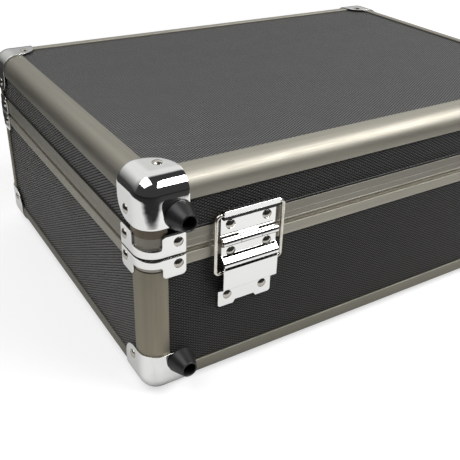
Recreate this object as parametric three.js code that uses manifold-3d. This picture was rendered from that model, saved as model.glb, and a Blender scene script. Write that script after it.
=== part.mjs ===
// Aluminium-framed hard case: a base and a hinged lid, each made of panels held in
// rounded edge profiles, with pressed corner caps, rim brackets, rubber feet, two
// hinges with wire lid stays, two hasp latches and a carrying handle.
// Millimetres. +X runs along the length, +Y points to the hinge side, +Z up.
// The origin is at the bottom centre of the case's bounding box.

import * as THREE from 'three';
import { RoundedBoxGeometry } from 'three/addons/geometries/RoundedBoxGeometry.js';
import { mergeVertices } from 'three/addons/utils/BufferGeometryUtils.js';
import Module from 'manifold-3d';

const wasm = await Module();
wasm.setup();

// Overall size, measured over the faces of the edge profiles
const LENGTH = 500;
const DEPTH = 359;
const BASE_HEIGHT = 129;
const LID_HEIGHT = 62;

// Clearances
const FIT_GAP = 0.3;
const CUT_OVERRUN = 5;
const MERGE_TOLERANCE = 0.0001;

// Edge profiles and corner posts: rounded angles of sheet thickness
const LEG_WIDTH = 20;
const EDGE_RADIUS = 14.6;
const PROFILE_WALL = 1.5;
const PROFILE_SETBACK = 22;

// Panels
const PANEL_THICKNESS = 4;

// Rim profiles that meet at the parting line
const PARTING_GAP = 0.3;
const RIM_WIDTH = 7.6;
const BASE_RIM_HEIGHT = 12.2;
const LID_RIM_HEIGHT = 16.9;
const RIM_NECK_HEIGHT = 2.3;
const RIM_NECK_INSET = 2;
const RIM_WEB = 4.6;
const BASE_LIP_HEIGHT = 3;
const BASE_LIP_INSET = 1;
const LID_LIP_HEIGHT = 1;
const LID_GROOVE_HEIGHT = 3.5;
const LID_GROOVE_DEPTH = 0.8;
const LID_GROOVE_SLOPE = 0.5;
const TONGUE_WIDTH = 1.4;
const TONGUE_HEIGHT = 2.2;
const TONGUE_INSET = 4.2;
const TONGUE_CLEARANCE = 0.6;
const LID_POST_OVERLAP = 0.6;

// Pressed corner caps
const CAP_THICKNESS = 1;
const CAP_ARM_SHARE = 0.608065;
const CAP_LOBE_RADIUS_SHARE = 0.424403;
const CAP_RIVET_INSET_SHARE = 0.71618;

// Rim brackets round the corners
const BRACKET_THICKNESS = 1.2;
const BRACKET_ARM = 34.2;
const BRACKET_EAR_START = 15;
const BRACKET_EAR_RADIUS = 3.5;
const BRACKET_PARTING = 0.8;
const BRACKET_BAND = 8.1;
const LID_BRACKET_HEIGHT_SHARE = 0.306452;
const BASE_BRACKET_HEIGHT = 18;
const BRACKET_RIVET_INSET = 28;
const LID_BRACKET_RIVET_RISE_SHARE = 0.578947;
const BASE_BRACKET_RIVET_DROP = 7.5;

// Rivets
const RIVET_RADIUS = 4;
const RIVET_HEAD = 1.7;
const RIVET_ROOT = 0.6;
const RIVET_SHOULDER_SHARE = 0.72;
const RIVET_SHOULDER_HEIGHT_SHARE = 0.82;

// Rubber feet on the back, one at each corner cap
const FOOT_INSET_SHARE = 0.769231;
const FOOT_RADIUS_SHARE = 0.323607;
const FOOT_TIP_RADIUS = 7;
const FOOT_BORE_RADIUS = 5.5;
const FOOT_HEIGHT = 14.7;
const FOOT_BORE_DEPTH = 8;
const FOOT_FLANGE = 1.6;
const FOOT_EDGE = 0.6;

// Foam linings
const FOAM_WALL = 8;
const FOAM_FLOOR = 8;
const LID_FOAM_FLOOR = 18;
const FOAM_CORNER_RADIUS = 3;
const FOAM_RIM_DROP = 3;

// Hinges with wire lid stays
const HINGE_END_DISTANCE = 88.5;
const HINGE_WIDTH = 50;
const HINGE_SHEET = 1.5;
const KNUCKLE_RADIUS = 3.5;
const PIN_RADIUS = 1.6;
const PIN_CLEARANCE = 0.3;
const PIN_HEAD_RADIUS = 2.6;
const PIN_HEAD = 0.8;
const KNUCKLE_MIDDLE = 18.7;
const LID_LEAF_BOTTOM_RISE = 4.7;
const CURL_RADIUS = 3.1;
const CURL_RISE = 24;
const WIRE_RADIUS = 1.6;
const WIRE_SPACING = 60.4;
const WIRE_DROP = 51;
const WIRE_BEND_RADIUS = 4;
const WIRE_FOOT_BEND_RADIUS = 3;
const WIRE_END_GAP = 0.4;
const LEAF_SHOULDER_DROP = 13.4;
const RIDGE_TOP_DROP = 17;
const RIDGE_BOTTOM_DROP = 24;
const RIDGE_STEP = 0.8;
const RIDGE_PROUD = 5.7;
const POCKET_BOTTOM_DROP = 43;
const FLANGE_TOP_DROP = 47.4;
const FLANGE_BOTTOM_DROP = 62.3;
const FLANGE_NOTCH_WIDTH = 18;
const FLANGE_NOTCH_HEIGHT = 2.8;
const FLANGE_NOTCH_SLOPE = 1.8;
const HINGE_RIVET_SPACING = 33;
const LID_LEAF_RIVET_RISE = 13.4;
const BASE_LEAF_RIVET_DROP = 9.5;
const FLANGE_RIVET_DROP = 52.2;

// Hasp latches on the front
const LATCH_END_DISTANCE = 88.5;
const LATCH_PLATE_WIDTH = 46;
const LATCH_PLATE_BOTTOM_RISE = 5;
const LATCH_PIVOT_RISE = 18;
const LATCH_SHEET = 1.5;
const LATCH_KNUCKLE_RADIUS = 3.2;
const LATCH_PIN_RADIUS = 1.5;
const HASP_WIDTH = 26;
const HASP_LENGTH = 47;
const HASP_END_RADIUS = 9;
const HASP_BOSS_RADIUS = 6;
const HASP_BOSS_HEIGHT = 1.2;
const HASP_BOSS_DROP = 28;
const HASP_TONGUE_WIDTH = 7;
const HASP_TONGUE_HEIGHT = 4;
const HASP_TONGUE_DROP = 38;
const HASP_TONGUE_DEPTH = 2.4;
const LATCH_RIVET_RADIUS = 3;
const LATCH_RIVET_HEAD = 1.3;
const LATCH_PLATE_RIVET_X = 18.5;
const LATCH_PLATE_RIVET_RISE = 10;
const LOCK_WIDTH = 36;
const LOCK_FLANGE_WIDTH = 56;
const LOCK_TOP_DROP = 13;
const LOCK_HEIGHT = 34;
const LOCK_PROUD = 8;
const LOCK_CORNER_RADIUS = 4;
const LOCK_FLANGE_RADIUS = 5;
const LOCK_FLANGE_THICKNESS = 1.2;
const LOCK_RECESS_WIDTH = 28;
const LOCK_RECESS_DEPTH = 4.5;
const LOCK_NOTCH_WIDTH = 8;
const LOCK_RECESS_EASE = 1.2;
const LOCK_RIVET_X = 23;
const LOCK_RIVET_INSET = 7;
const SLIDE_WIDTH = 12;
const SLIDE_HEIGHT = 6;
const SLIDE_PROUD = 2.4;
const SLIDE_RISE = 6;
const SLIDE_EDGE_RADIUS = 1.5;
const SLIDE_TRAVEL = 4;
const SLIDE_STEM_WIDTH = 4;
const SLIDE_STEM_HEIGHT = 2.4;
const SLIDE_STEM_DEPTH = 2;
const SLIDE_SLOT_EASE = 0.6;

// Carrying handle on the front of the base
const HANDLE_PIVOT_PROUD = 12.5;
const HANDLE_WIDTH = 140;
const HANDLE_DROP = 40;
const HANDLE_GRIP_RADIUS = 9.5;
const HANDLE_GRIP_END_RADIUS = 7.5;
const HANDLE_ARM_THICKNESS = 5;
const HANDLE_ARM_WIDTH = 14;
const HANDLE_PIN_RADIUS = 3;
const HANDLE_PIN_CLEARANCE = 0.4;
const HANDLE_BOSS_WIDTH = 12;
const HANDLE_BOSS_RADIUS = 7;
const HANDLE_PLATE_WIDTH = 24;
const HANDLE_PLATE_HEIGHT = 52;
const HANDLE_PLATE_GAP = 2.8;
const HANDLE_PLATE_THICKNESS = 2;
const HANDLE_PLATE_RADIUS = 5;
const HANDLE_RIVET_SPACING = 36;

// Facet counts
const CORNER_STEPS = 4;
const EDGE_STEPS = 4;
const CAP_STEPS = 3;
const LOBE_STEPS = 4;
const RIVET_SIDES = 8;
const BORE_SIDES = 8;
const KNUCKLE_SIDES = 12;
const FOOT_SIDES = 16;
const GRIP_SIDES = 12;
const WIRE_SIDES = 6;
const BEND_STEPS = 3;

// Places that follow from the sizes above
const HALF = 1 / 2;
const halfLength = LENGTH * HALF;
const halfDepth = DEPTH * HALF;
const caseHeight = BASE_HEIGHT + LID_HEIGHT;
const capProud = FIT_GAP + CAP_THICKNESS;
const capArm = LID_HEIGHT * CAP_ARM_SHARE;
const lobeRadius = capArm * CAP_LOBE_RADIUS_SHARE;
const capRivetInset = capArm * CAP_RIVET_INSET_SHARE;
const footInset = capArm * FOOT_INSET_SHARE;
const footRadius = capArm * FOOT_RADIUS_SHARE;
const lidBracketHeight = LID_HEIGHT * LID_BRACKET_HEIGHT_SHARE;
const lidBracketRivetRise = lidBracketHeight * LID_BRACKET_RIVET_RISE_SHARE;
const panelInset = PROFILE_WALL + FIT_GAP;
const panelBack = panelInset + PANEL_THICKNESS;
const foamInset = RIM_WIDTH + FIT_GAP;
const baseRimBottom = BASE_HEIGHT - BASE_RIM_HEIGHT;
const lidRimTop = BASE_HEIGHT + LID_RIM_HEIGHT;
const baseNeckBottom = BASE_HEIGHT - RIM_NECK_HEIGHT;
const lidNeckTop = BASE_HEIGHT + RIM_NECK_HEIGHT;
const baseFace = BASE_HEIGHT - PARTING_GAP * HALF;
const lidFace = BASE_HEIGHT + PARTING_GAP * HALF;
const pinBore = PIN_RADIUS + PIN_CLEARANCE;
const pivotProud = KNUCKLE_RADIUS + FIT_GAP;
const curlProud = CURL_RADIUS + FIT_GAP;
const leafOuter = FIT_GAP + HINGE_SHEET;
const hingeX = halfLength - HINGE_END_DISTANCE;
const panelProud = -PROFILE_WALL;
const latchPivotProud = LATCH_KNUCKLE_RADIUS + FIT_GAP;
const latchPivotHeight = BASE_HEIGHT + LATCH_PIVOT_RISE;
const latchX = halfLength - LATCH_END_DISTANCE;
const lockTop = BASE_HEIGHT - LOCK_TOP_DROP;
const handlePivotHeight = baseRimBottom - HANDLE_PLATE_GAP - HANDLE_PLATE_HEIGHT * HALF;
const frontReach = HANDLE_PIVOT_PROUD + HANDLE_GRIP_RADIUS;
const backReach = capProud + FIT_GAP + FOOT_HEIGHT;

// Materials
function finish(color, roughness, metalness) {
  return new THREE.MeshStandardMaterial({ color, roughness, metalness });
}
const anodised = finish(0x8c8674, 0.42, 0.9);
const chrome = finish(0xd9dad6, 0.12, 1);
const steel = finish(0xb4b0a4, 0.3, 1);
const panelFinish = finish(0x34353a, 0.6, 0.05);
const rubber = finish(0x161618, 0.75, 0);
const foam = finish(0x2a2b2e, 0.95, 0);
const gripFinish = finish(0x1c1c1e, 0.55, 0);

// Solids: joining and cutting
function solidOf(geometry) {
  const bare = geometry.clone();
  bare.deleteAttribute('normal');
  bare.deleteAttribute('uv');
  const merged = mergeVertices(bare, MERGE_TOLERANCE);
  return new wasm.Manifold(new wasm.Mesh({
    numProp: 3,
    vertProperties: new Float32Array(merged.attributes.position.array),
    triVerts: new Uint32Array(merged.index.array),
  }));
}

function geometryOf(solid) {
  const data = solid.getMesh();
  const geometry = new THREE.BufferGeometry();
  geometry.setAttribute('position', new THREE.BufferAttribute(new Float32Array(data.vertProperties), 3));
  geometry.setIndex(new THREE.BufferAttribute(new Uint32Array(data.triVerts), 1));
  return geometry;
}

function joined(...geometries) {
  return geometryOf(geometries.map(solidOf).reduce((whole, next) => whole.add(next)));
}

function cut(geometry, ...tools) {
  return geometryOf(tools.map(solidOf).reduce((left, tool) => left.subtract(tool), solidOf(geometry)));
}

function common(...geometries) {
  return geometryOf(geometries.map(solidOf).reduce((left, next) => left.intersect(next)));
}

// Moves a geometry by a matrix, and turns its faces out again if the matrix mirrors it
function moved(geometry, matrix) {
  const bare = geometry.clone().deleteAttribute('normal').deleteAttribute('uv');
  const result = mergeVertices(bare, MERGE_TOLERANCE);
  result.applyMatrix4(matrix);
  if (matrix.determinant() < 0) {
    const index = result.index.array;
    for (let i = 0; i < index.length; i += 3) {
      [index[i], index[i + 1]] = [index[i + 1], index[i]];
    }
  }
  return result;
}

function shifted(geometry, x, y, z) {
  return moved(geometry, new THREE.Matrix4().makeTranslation(x, y, z));
}

// Shapes and prisms
function outline(points) {
  return new THREE.Shape(points.map(([x, y]) => new THREE.Vector2(x, y)));
}

function roundedRect(x0, x1, y0, y1, radius) {
  const shape = new THREE.Shape();
  const quarter = Math.PI * HALF;
  shape.absarc(x1 - radius, y1 - radius, radius, 0, quarter, false);
  shape.absarc(x0 + radius, y1 - radius, radius, quarter, 2 * quarter, false);
  shape.absarc(x0 + radius, y0 + radius, radius, 2 * quarter, 3 * quarter, false);
  shape.absarc(x1 - radius, y0 + radius, radius, 3 * quarter, 4 * quarter, false);
  return shape;
}

function circle(x, y, radius) {
  const shape = new THREE.Shape();
  shape.absarc(x, y, radius, 0, 2 * Math.PI, false);
  return shape;
}

function prism(shape, from, to, steps, basis) {
  const options = { depth: to - from, bevelEnabled: false, curveSegments: steps };
  const geometry = new THREE.ExtrudeGeometry(shape, options);
  geometry.translate(0, 0, from);
  return moved(geometry, basis);
}

// The shape's two coordinates are y and z, z and x, or x and y
function alongX(shape, from, to, steps = EDGE_STEPS) {
  const basis = new THREE.Matrix4().set(0, 0, 1, 0, 1, 0, 0, 0, 0, 1, 0, 0, 0, 0, 0, 1);
  return prism(shape, from, to, steps, basis);
}

function alongY(shape, from, to, steps = EDGE_STEPS) {
  const basis = new THREE.Matrix4().set(0, 1, 0, 0, 0, 0, 1, 0, 1, 0, 0, 0, 0, 0, 0, 1);
  return prism(shape, from, to, steps, basis);
}

function alongZ(shape, from, to, steps = EDGE_STEPS) {
  return prism(shape, from, to, steps, new THREE.Matrix4());
}

function box(x0, x1, y0, y1, z0, z1) {
  const geometry = new THREE.BoxGeometry(x1 - x0, y1 - y0, z1 - z0);
  geometry.translate((x0 + x1) * HALF, (y0 + y1) * HALF, (z0 + z1) * HALF);
  return geometry;
}

// A turned solid round the y axis, from points of radius and height
function turned(points, sides) {
  return new THREE.LatheGeometry(points.map(([r, y]) => new THREE.Vector2(r, y)), sides);
}

// A bar round the x axis
function barAlongX(radius, from, to, y, z, sides) {
  return alongX(circle(y, z, radius), from, to, sides);
}

// A rivet head on the y axis, its foot sunk in the plate below
function rivetHead(radius = RIVET_RADIUS, head = RIVET_HEAD) {
  return turned([
    [0, -RIVET_ROOT],
    [radius, -RIVET_ROOT],
    [radius * RIVET_SHOULDER_SHARE, head * RIVET_SHOULDER_HEIGHT_SHARE],
    [0, head],
  ], RIVET_SIDES);
}

// Closed ring with rounded corners, swept from a section of [inset, height] points
function rimRing(section) {
  const positions = [];
  const loopSize = 4 * (CORNER_STEPS + 1);
  for (const [inset, height] of section) {
    const radius = EDGE_RADIUS - inset;
    for (let corner = 0; corner < 4; corner += 1) {
      const centreX = (corner === 0 || corner === 3 ? 1 : -1) * (halfLength - EDGE_RADIUS);
      const centreY = (corner < 2 ? 1 : -1) * (halfDepth - EDGE_RADIUS);
      for (let step = 0; step <= CORNER_STEPS; step += 1) {
        const angle = (corner + step / CORNER_STEPS) * Math.PI * HALF;
        positions.push(centreX + radius * Math.cos(angle), centreY + radius * Math.sin(angle), height);
      }
    }
  }
  const index = [];
  for (let row = 0; row < section.length; row += 1) {
    const nextRow = (row + 1) % section.length;
    for (let column = 0; column < loopSize; column += 1) {
      const nextColumn = (column + 1) % loopSize;
      const a = row * loopSize + column;
      const b = row * loopSize + nextColumn;
      const c = nextRow * loopSize + nextColumn;
      const d = nextRow * loopSize + column;
      index.push(a, b, c, a, c, d);
    }
  }
  const geometry = new THREE.BufferGeometry();
  geometry.setAttribute('position', new THREE.Float32BufferAttribute(positions, 3));
  geometry.setIndex(index);
  return geometry;
}

// Corner coordinates run inwards from the three faces that meet there
function cornerPlace(side, face, isLid) {
  const matrix = new THREE.Matrix4().makeScale(-side, -face, isLid ? -1 : 1);
  matrix.setPosition(side * halfLength, face * halfDepth, isLid ? caseHeight : 0);
  return matrix;
}

// Wall coordinates are x, distance proud of the wall's face, and height
function wallPlace(face, x, hand = 1) {
  const matrix = new THREE.Matrix4().makeScale(hand, face, 1);
  matrix.setPosition(x, face * halfDepth, 0);
  return matrix;
}

// The assembly: a case group whose profile faces sit the cap's thickness above the ground
const hardCase = new THREE.Group();
const body = new THREE.Group();
body.position.set(0, (frontReach - backReach) * HALF, capProud);
hardCase.add(body);

function piece(name, geometry, material) {
  const part = new THREE.Mesh(geometry, material);
  part.name = name;
  body.add(part);
}

const sides = [['left', -1], ['right', 1]];
const faces = [['front', -1], ['back', 1]];
const halves = [['base', false], ['lid', true]];

// Edge profiles: a rounded angle, the same section on every edge
function angleSection() {
  const shape = new THREE.Shape();
  const quarter = Math.PI * HALF;
  const inner = EDGE_RADIUS - PROFILE_WALL;
  shape.moveTo(LEG_WIDTH, 0);
  shape.lineTo(LEG_WIDTH, PROFILE_WALL);
  shape.absarc(EDGE_RADIUS, EDGE_RADIUS, inner, 3 * quarter, 2 * quarter, true);
  shape.lineTo(PROFILE_WALL, LEG_WIDTH);
  shape.lineTo(0, LEG_WIDTH);
  shape.absarc(EDGE_RADIUS, EDGE_RADIUS, EDGE_RADIUS, 2 * quarter, 3 * quarter, false);
  return shape;
}

function addEdgeProfiles(half, isLid) {
  const longEdge = alongX(angleSection(), PROFILE_SETBACK, LENGTH - PROFILE_SETBACK);
  const shortEdge = alongY(angleSection(), PROFILE_SETBACK, DEPTH - PROFILE_SETBACK);
  for (const [faceName, face] of faces) {
    piece(`${half}_edge_${faceName}`, moved(longEdge, cornerPlace(1, face, isLid)), anodised);
  }
  for (const [sideName, side] of sides) {
    piece(`${half}_edge_${sideName}`, moved(shortEdge, cornerPlace(side, 1, isLid)), anodised);
  }
}

function addBasePosts() {
  const post = alongZ(angleSection(), PROFILE_SETBACK, baseRimBottom - FIT_GAP);
  for (const [faceName, face] of faces) {
    for (const [sideName, side] of sides) {
      piece(`base_post_${faceName}_${sideName}`, moved(post, cornerPlace(side, face, false)), anodised);
    }
  }
}

// Panels: a flat plate for the bottom and top, and one wrapped band for the four sides
function plateAt(inset, from, to, radius) {
  return alongZ(
    roundedRect(inset - halfLength, halfLength - inset, inset - halfDepth, halfDepth - inset, radius),
    from, to, CORNER_STEPS,
  );
}

function addPanels() {
  const bottom = box(
    EDGE_RADIUS - halfLength, halfLength - EDGE_RADIUS,
    EDGE_RADIUS - halfDepth, halfDepth - EDGE_RADIUS,
    panelInset, panelBack,
  );
  piece('base_bottom_panel', bottom, panelFinish);
  piece('lid_top_panel', shifted(bottom, 0, 0, caseHeight - panelInset - panelBack), panelFinish);
  const baseTop = baseNeckBottom - RIM_WEB - FIT_GAP;
  const lidBottom = lidNeckTop + RIM_WEB + FIT_GAP + LID_LIP_HEIGHT;
  piece('base_side_panels', rimRing(bandSection(EDGE_RADIUS, baseTop)), panelFinish);
  piece('lid_side_panels', rimRing(bandSection(lidBottom, caseHeight - EDGE_RADIUS)), panelFinish);
}

function bandSection(bottom, top) {
  return [[panelInset, bottom], [panelInset, top], [panelBack, top], [panelBack, bottom]];
}

// Rim profiles: channels over the panel edges, with a tongue on the base and a groove in the lid
function addRims() {
  const innerWall = RIM_WIDTH - PROFILE_WALL;
  const baseChannel = baseNeckBottom - RIM_WEB;
  const tongueTop = baseFace + TONGUE_HEIGHT;
  const tongueBack = TONGUE_INSET + TONGUE_WIDTH;
  const baseSection = [
    [BASE_LIP_INSET, baseRimBottom],
    [0, baseRimBottom + BASE_LIP_HEIGHT],
    [0, baseNeckBottom],
    [RIM_NECK_INSET, baseNeckBottom],
    [RIM_NECK_INSET, baseFace],
    [TONGUE_INSET, baseFace],
    [TONGUE_INSET, tongueTop],
    [tongueBack, tongueTop],
    [tongueBack, baseFace],
    [RIM_WIDTH, baseFace],
    [RIM_WIDTH, baseRimBottom],
    [innerWall, baseRimBottom],
    [innerWall, baseChannel],
    [PROFILE_WALL, baseChannel],
    [PROFILE_WALL, baseRimBottom],
  ];
  piece('base_rim', rimRing(baseSection), anodised);

  const lidChannel = lidNeckTop + RIM_WEB + LID_LIP_HEIGHT;
  const grooveStart = lidNeckTop + LID_LIP_HEIGHT;
  const grooveTop = tongueTop + TONGUE_CLEARANCE;
  const grooveFront = TONGUE_INSET - TONGUE_CLEARANCE;
  const grooveBack = tongueBack + TONGUE_CLEARANCE;
  const lidSection = [
    [RIM_NECK_INSET, lidFace],
    [RIM_NECK_INSET, lidNeckTop],
    [0, lidNeckTop],
    [0, grooveStart],
    [LID_GROOVE_DEPTH, grooveStart + LID_GROOVE_SLOPE],
    [LID_GROOVE_DEPTH, grooveStart + LID_GROOVE_HEIGHT - LID_GROOVE_SLOPE],
    [0, grooveStart + LID_GROOVE_HEIGHT],
    [0, lidRimTop],
    [PROFILE_WALL, lidRimTop],
    [PROFILE_WALL, lidChannel],
    [innerWall, lidChannel],
    [innerWall, lidRimTop],
    [RIM_WIDTH, lidRimTop],
    [RIM_WIDTH, lidFace],
    [grooveBack, lidFace],
    [grooveBack, grooveTop],
    [grooveFront, grooveTop],
    [grooveFront, lidFace],
  ];
  const postHeight = caseHeight - lidRimTop + LID_POST_OVERLAP;
  const post = alongZ(angleSection(), PROFILE_SETBACK, postHeight);
  const posts = sides.flatMap(([, side]) => (
    faces.map(([, face]) => moved(post, cornerPlace(side, face, true)))
  ));
  piece('lid_rim', joined(rimRing(lidSection), ...posts), anodised);
}

// Foam linings
function addFoam() {
  const radius = EDGE_RADIUS - foamInset;
  const hollowInset = foamInset + FOAM_WALL;
  const baseFloor = panelBack + FIT_GAP;
  const baseTop = baseFace - FOAM_RIM_DROP;
  const baseBlock = plateAt(foamInset, baseFloor, baseTop, radius);
  const hollowFloor = baseFloor + FOAM_FLOOR;
  const baseHollow = plateAt(hollowInset, hollowFloor, baseTop + CUT_OVERRUN, FOAM_CORNER_RADIUS);
  piece('base_foam', cut(baseBlock, baseHollow), foam);
  const lidCeiling = caseHeight - panelBack - FIT_GAP;
  const lidBottom = lidFace + FOAM_RIM_DROP;
  const lidBlock = plateAt(foamInset, lidBottom, lidCeiling, radius);
  const hollowTop = lidCeiling - LID_FOAM_FLOOR;
  const lidHollow = plateAt(hollowInset, lidBottom - CUT_OVERRUN, hollowTop, FOAM_CORNER_RADIUS);
  piece('lid_foam', cut(lidBlock, lidHollow), foam);
}

// Corner caps: a rounded shell over the corner, trimmed to a rounded lobe on each face
function capShell() {
  const reach = capArm + CUT_OVERRUN;
  const outerSize = 2 * (reach + capProud);
  const innerSize = 2 * (reach + FIT_GAP);
  const ball = (size, radius) => new RoundedBoxGeometry(size, size, size, CAP_STEPS, radius);
  const outer = shifted(ball(outerSize, EDGE_RADIUS + capProud), reach, reach, reach);
  const inner = shifted(ball(innerSize, EDGE_RADIUS + FIT_GAP), reach, reach, reach);
  const start = -CUT_OVERRUN;
  const lobe = new THREE.Shape();
  lobe.moveTo(start, start);
  lobe.lineTo(capArm, start);
  const lobeCentre = capArm - lobeRadius;
  lobe.absarc(lobeCentre, lobeCentre, lobeRadius, 0, Math.PI * HALF, false);
  lobe.lineTo(start, capArm);
  const trims = [alongX, alongY, alongZ].map((along) => along(lobe, start, capArm, LOBE_STEPS));
  return common(cut(outer, inner), ...trims);
}

// Rivet heads on the faces that lie across the x, y and z directions
function capRivets(onEnd, onWall, onTop) {
  const base = shifted(rivetHead(), 0, capProud, 0);
  const inset = capRivetInset;
  const rivets = [];
  if (onEnd) {
    const turn = new THREE.Matrix4().makeRotationZ(Math.PI * HALF).setPosition(0, inset, inset);
    rivets.push(moved(base, turn));
  }
  if (onWall) {
    const turn = new THREE.Matrix4().makeRotationX(Math.PI).setPosition(inset, 0, inset);
    rivets.push(moved(base, turn));
  }
  if (onTop) {
    const turn = new THREE.Matrix4().makeRotationX(-Math.PI * HALF).setPosition(inset, inset, 0);
    rivets.push(moved(base, turn));
  }
  return rivets;
}

function addCaps() {
  const shell = capShell();
  for (const [half, isLid] of halves) {
    for (const [faceName, face] of faces) {
      const cap = joined(shell, ...capRivets(true, face < 0, isLid));
      for (const [sideName, side] of sides) {
        piece(`${half}_corner_${faceName}_${sideName}`, moved(cap, cornerPlace(side, face, isLid)), chrome);
      }
    }
  }
}

// Rim brackets: a strip round the corner with a riveted ear on each side
function bracket(isLid) {
  const near = FIT_GAP;
  const far = FIT_GAP + BRACKET_THICKNESS;
  const quarter = Math.PI * HALF;
  const strip = new THREE.Shape();
  strip.moveTo(BRACKET_ARM, -far);
  strip.lineTo(BRACKET_ARM, -near);
  strip.absarc(EDGE_RADIUS, EDGE_RADIUS, EDGE_RADIUS + near, 3 * quarter, 2 * quarter, true);
  strip.lineTo(-near, BRACKET_ARM);
  strip.lineTo(-far, BRACKET_ARM);
  strip.absarc(EDGE_RADIUS, EDGE_RADIUS, EDGE_RADIUS + far, 2 * quarter, 3 * quarter, false);
  const height = isLid ? lidBracketHeight : BASE_BRACKET_HEIGHT;
  const rivetHeight = isLid ? lidBracketRivetRise : BASE_BRACKET_RIVET_DROP;
  const wall = alongZ(strip, BRACKET_PARTING, height, EDGE_STEPS);

  // The ear's outline: distance from the corner and height from the parting line
  const start = -CUT_OVERRUN;
  const band = [
    [start, start],
    [BRACKET_EAR_START + BRACKET_EAR_RADIUS, start],
    [BRACKET_EAR_START + BRACKET_EAR_RADIUS, BRACKET_BAND],
    [start, BRACKET_BAND],
  ];
  const ear = roundedRect(BRACKET_EAR_START, BRACKET_ARM, start, height, BRACKET_EAR_RADIUS);
  const turnedBand = outline(band.map(([along, up]) => [up, along]).reverse());
  const turnedEar = roundedRect(start, height, BRACKET_EAR_START, BRACKET_ARM, BRACKET_EAR_RADIUS);
  const depth = BRACKET_EAR_START - FIT_GAP;
  const outlines = joined(
    alongX(outline(band), start, depth, LOBE_STEPS),
    alongX(ear, start, depth, LOBE_STEPS),
    alongY(turnedBand, start, depth, LOBE_STEPS),
    alongY(turnedEar, start, depth, LOBE_STEPS),
  );
  const plate = common(wall, outlines);
  const base = shifted(rivetHead(), 0, far, 0);
  const inset = BRACKET_RIVET_INSET;
  const onEnd = new THREE.Matrix4().makeRotationZ(Math.PI * HALF).setPosition(0, inset, rivetHeight);
  const onWall = new THREE.Matrix4().makeRotationX(Math.PI).setPosition(inset, 0, rivetHeight);
  return joined(plate, moved(base, onEnd), moved(base, onWall));
}

// Brackets are measured from the parting line, up on the lid and down on the base
function bracketPlace(side, face, isLid) {
  const matrix = new THREE.Matrix4().makeScale(-side, -face, isLid ? 1 : -1);
  matrix.setPosition(side * halfLength, face * halfDepth, BASE_HEIGHT);
  return matrix;
}

function addBrackets() {
  for (const [half, isLid] of halves) {
    const plate = bracket(isLid);
    for (const [faceName, face] of faces) {
      for (const [sideName, side] of sides) {
        const place = bracketPlace(side, face, isLid);
        piece(`${half}_rim_bracket_${faceName}_${sideName}`, moved(plate, place), chrome);
      }
    }
  }
}

// Rubber feet: hollow truncated cones on the back of the four back caps
function addFeet() {
  const seat = capProud + FIT_GAP;
  const tip = seat + FOOT_HEIGHT;
  const foot = turned([
    [0, seat],
    [footRadius, seat],
    [footRadius, seat + FOOT_FLANGE],
    [FOOT_TIP_RADIUS, tip - FOOT_EDGE],
    [FOOT_TIP_RADIUS - FOOT_EDGE, tip],
    [FOOT_BORE_RADIUS, tip],
    [FOOT_BORE_RADIUS, tip - FOOT_BORE_DEPTH],
    [0, tip - FOOT_BORE_DEPTH],
  ], FOOT_SIDES);
  for (const [half, isLid] of halves) {
    const height = isLid ? caseHeight - footInset : footInset;
    for (const [sideName, side] of sides) {
      const place = wallPlace(1, side * (halfLength - footInset));
      piece(`foot_${half}_${sideName}`, moved(shifted(foot, 0, 0, height), place), rubber);
    }
  }
}

// Hinge leaves, in wall coordinates round x = 0
function hingeRivets(proud, height) {
  return [-1, 1].map((side) => shifted(rivetHead(), side * HINGE_RIVET_SPACING * HALF, proud, height));
}

function lidLeaf() {
  const half = HINGE_WIDTH * HALF;
  const middle = KNUCKLE_MIDDLE * HALF;
  const curlHeight = BASE_HEIGHT + CURL_RISE;
  const plateBottom = BASE_HEIGHT + LID_LEAF_BOTTOM_RISE;
  const whole = joined(
    box(-half, half, FIT_GAP, leafOuter, plateBottom, curlHeight),
    barAlongX(CURL_RADIUS, -half, half, curlProud, curlHeight, KNUCKLE_SIDES),
    box(-middle, middle, FIT_GAP, leafOuter, BASE_HEIGHT, plateBottom + HINGE_SHEET),
    barAlongX(KNUCKLE_RADIUS, -middle, middle, pivotProud, BASE_HEIGHT, KNUCKLE_SIDES),
    ...hingeRivets(leafOuter, BASE_HEIGHT + LID_LEAF_RIVET_RISE),
  );
  const reach = half + CUT_OVERRUN;
  return cut(
    whole,
    barAlongX(WIRE_RADIUS + PIN_CLEARANCE, -reach, reach, curlProud, curlHeight, BORE_SIDES),
    barAlongX(pinBore, -reach, reach, pivotProud, BASE_HEIGHT, BORE_SIDES),
  );
}

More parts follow.
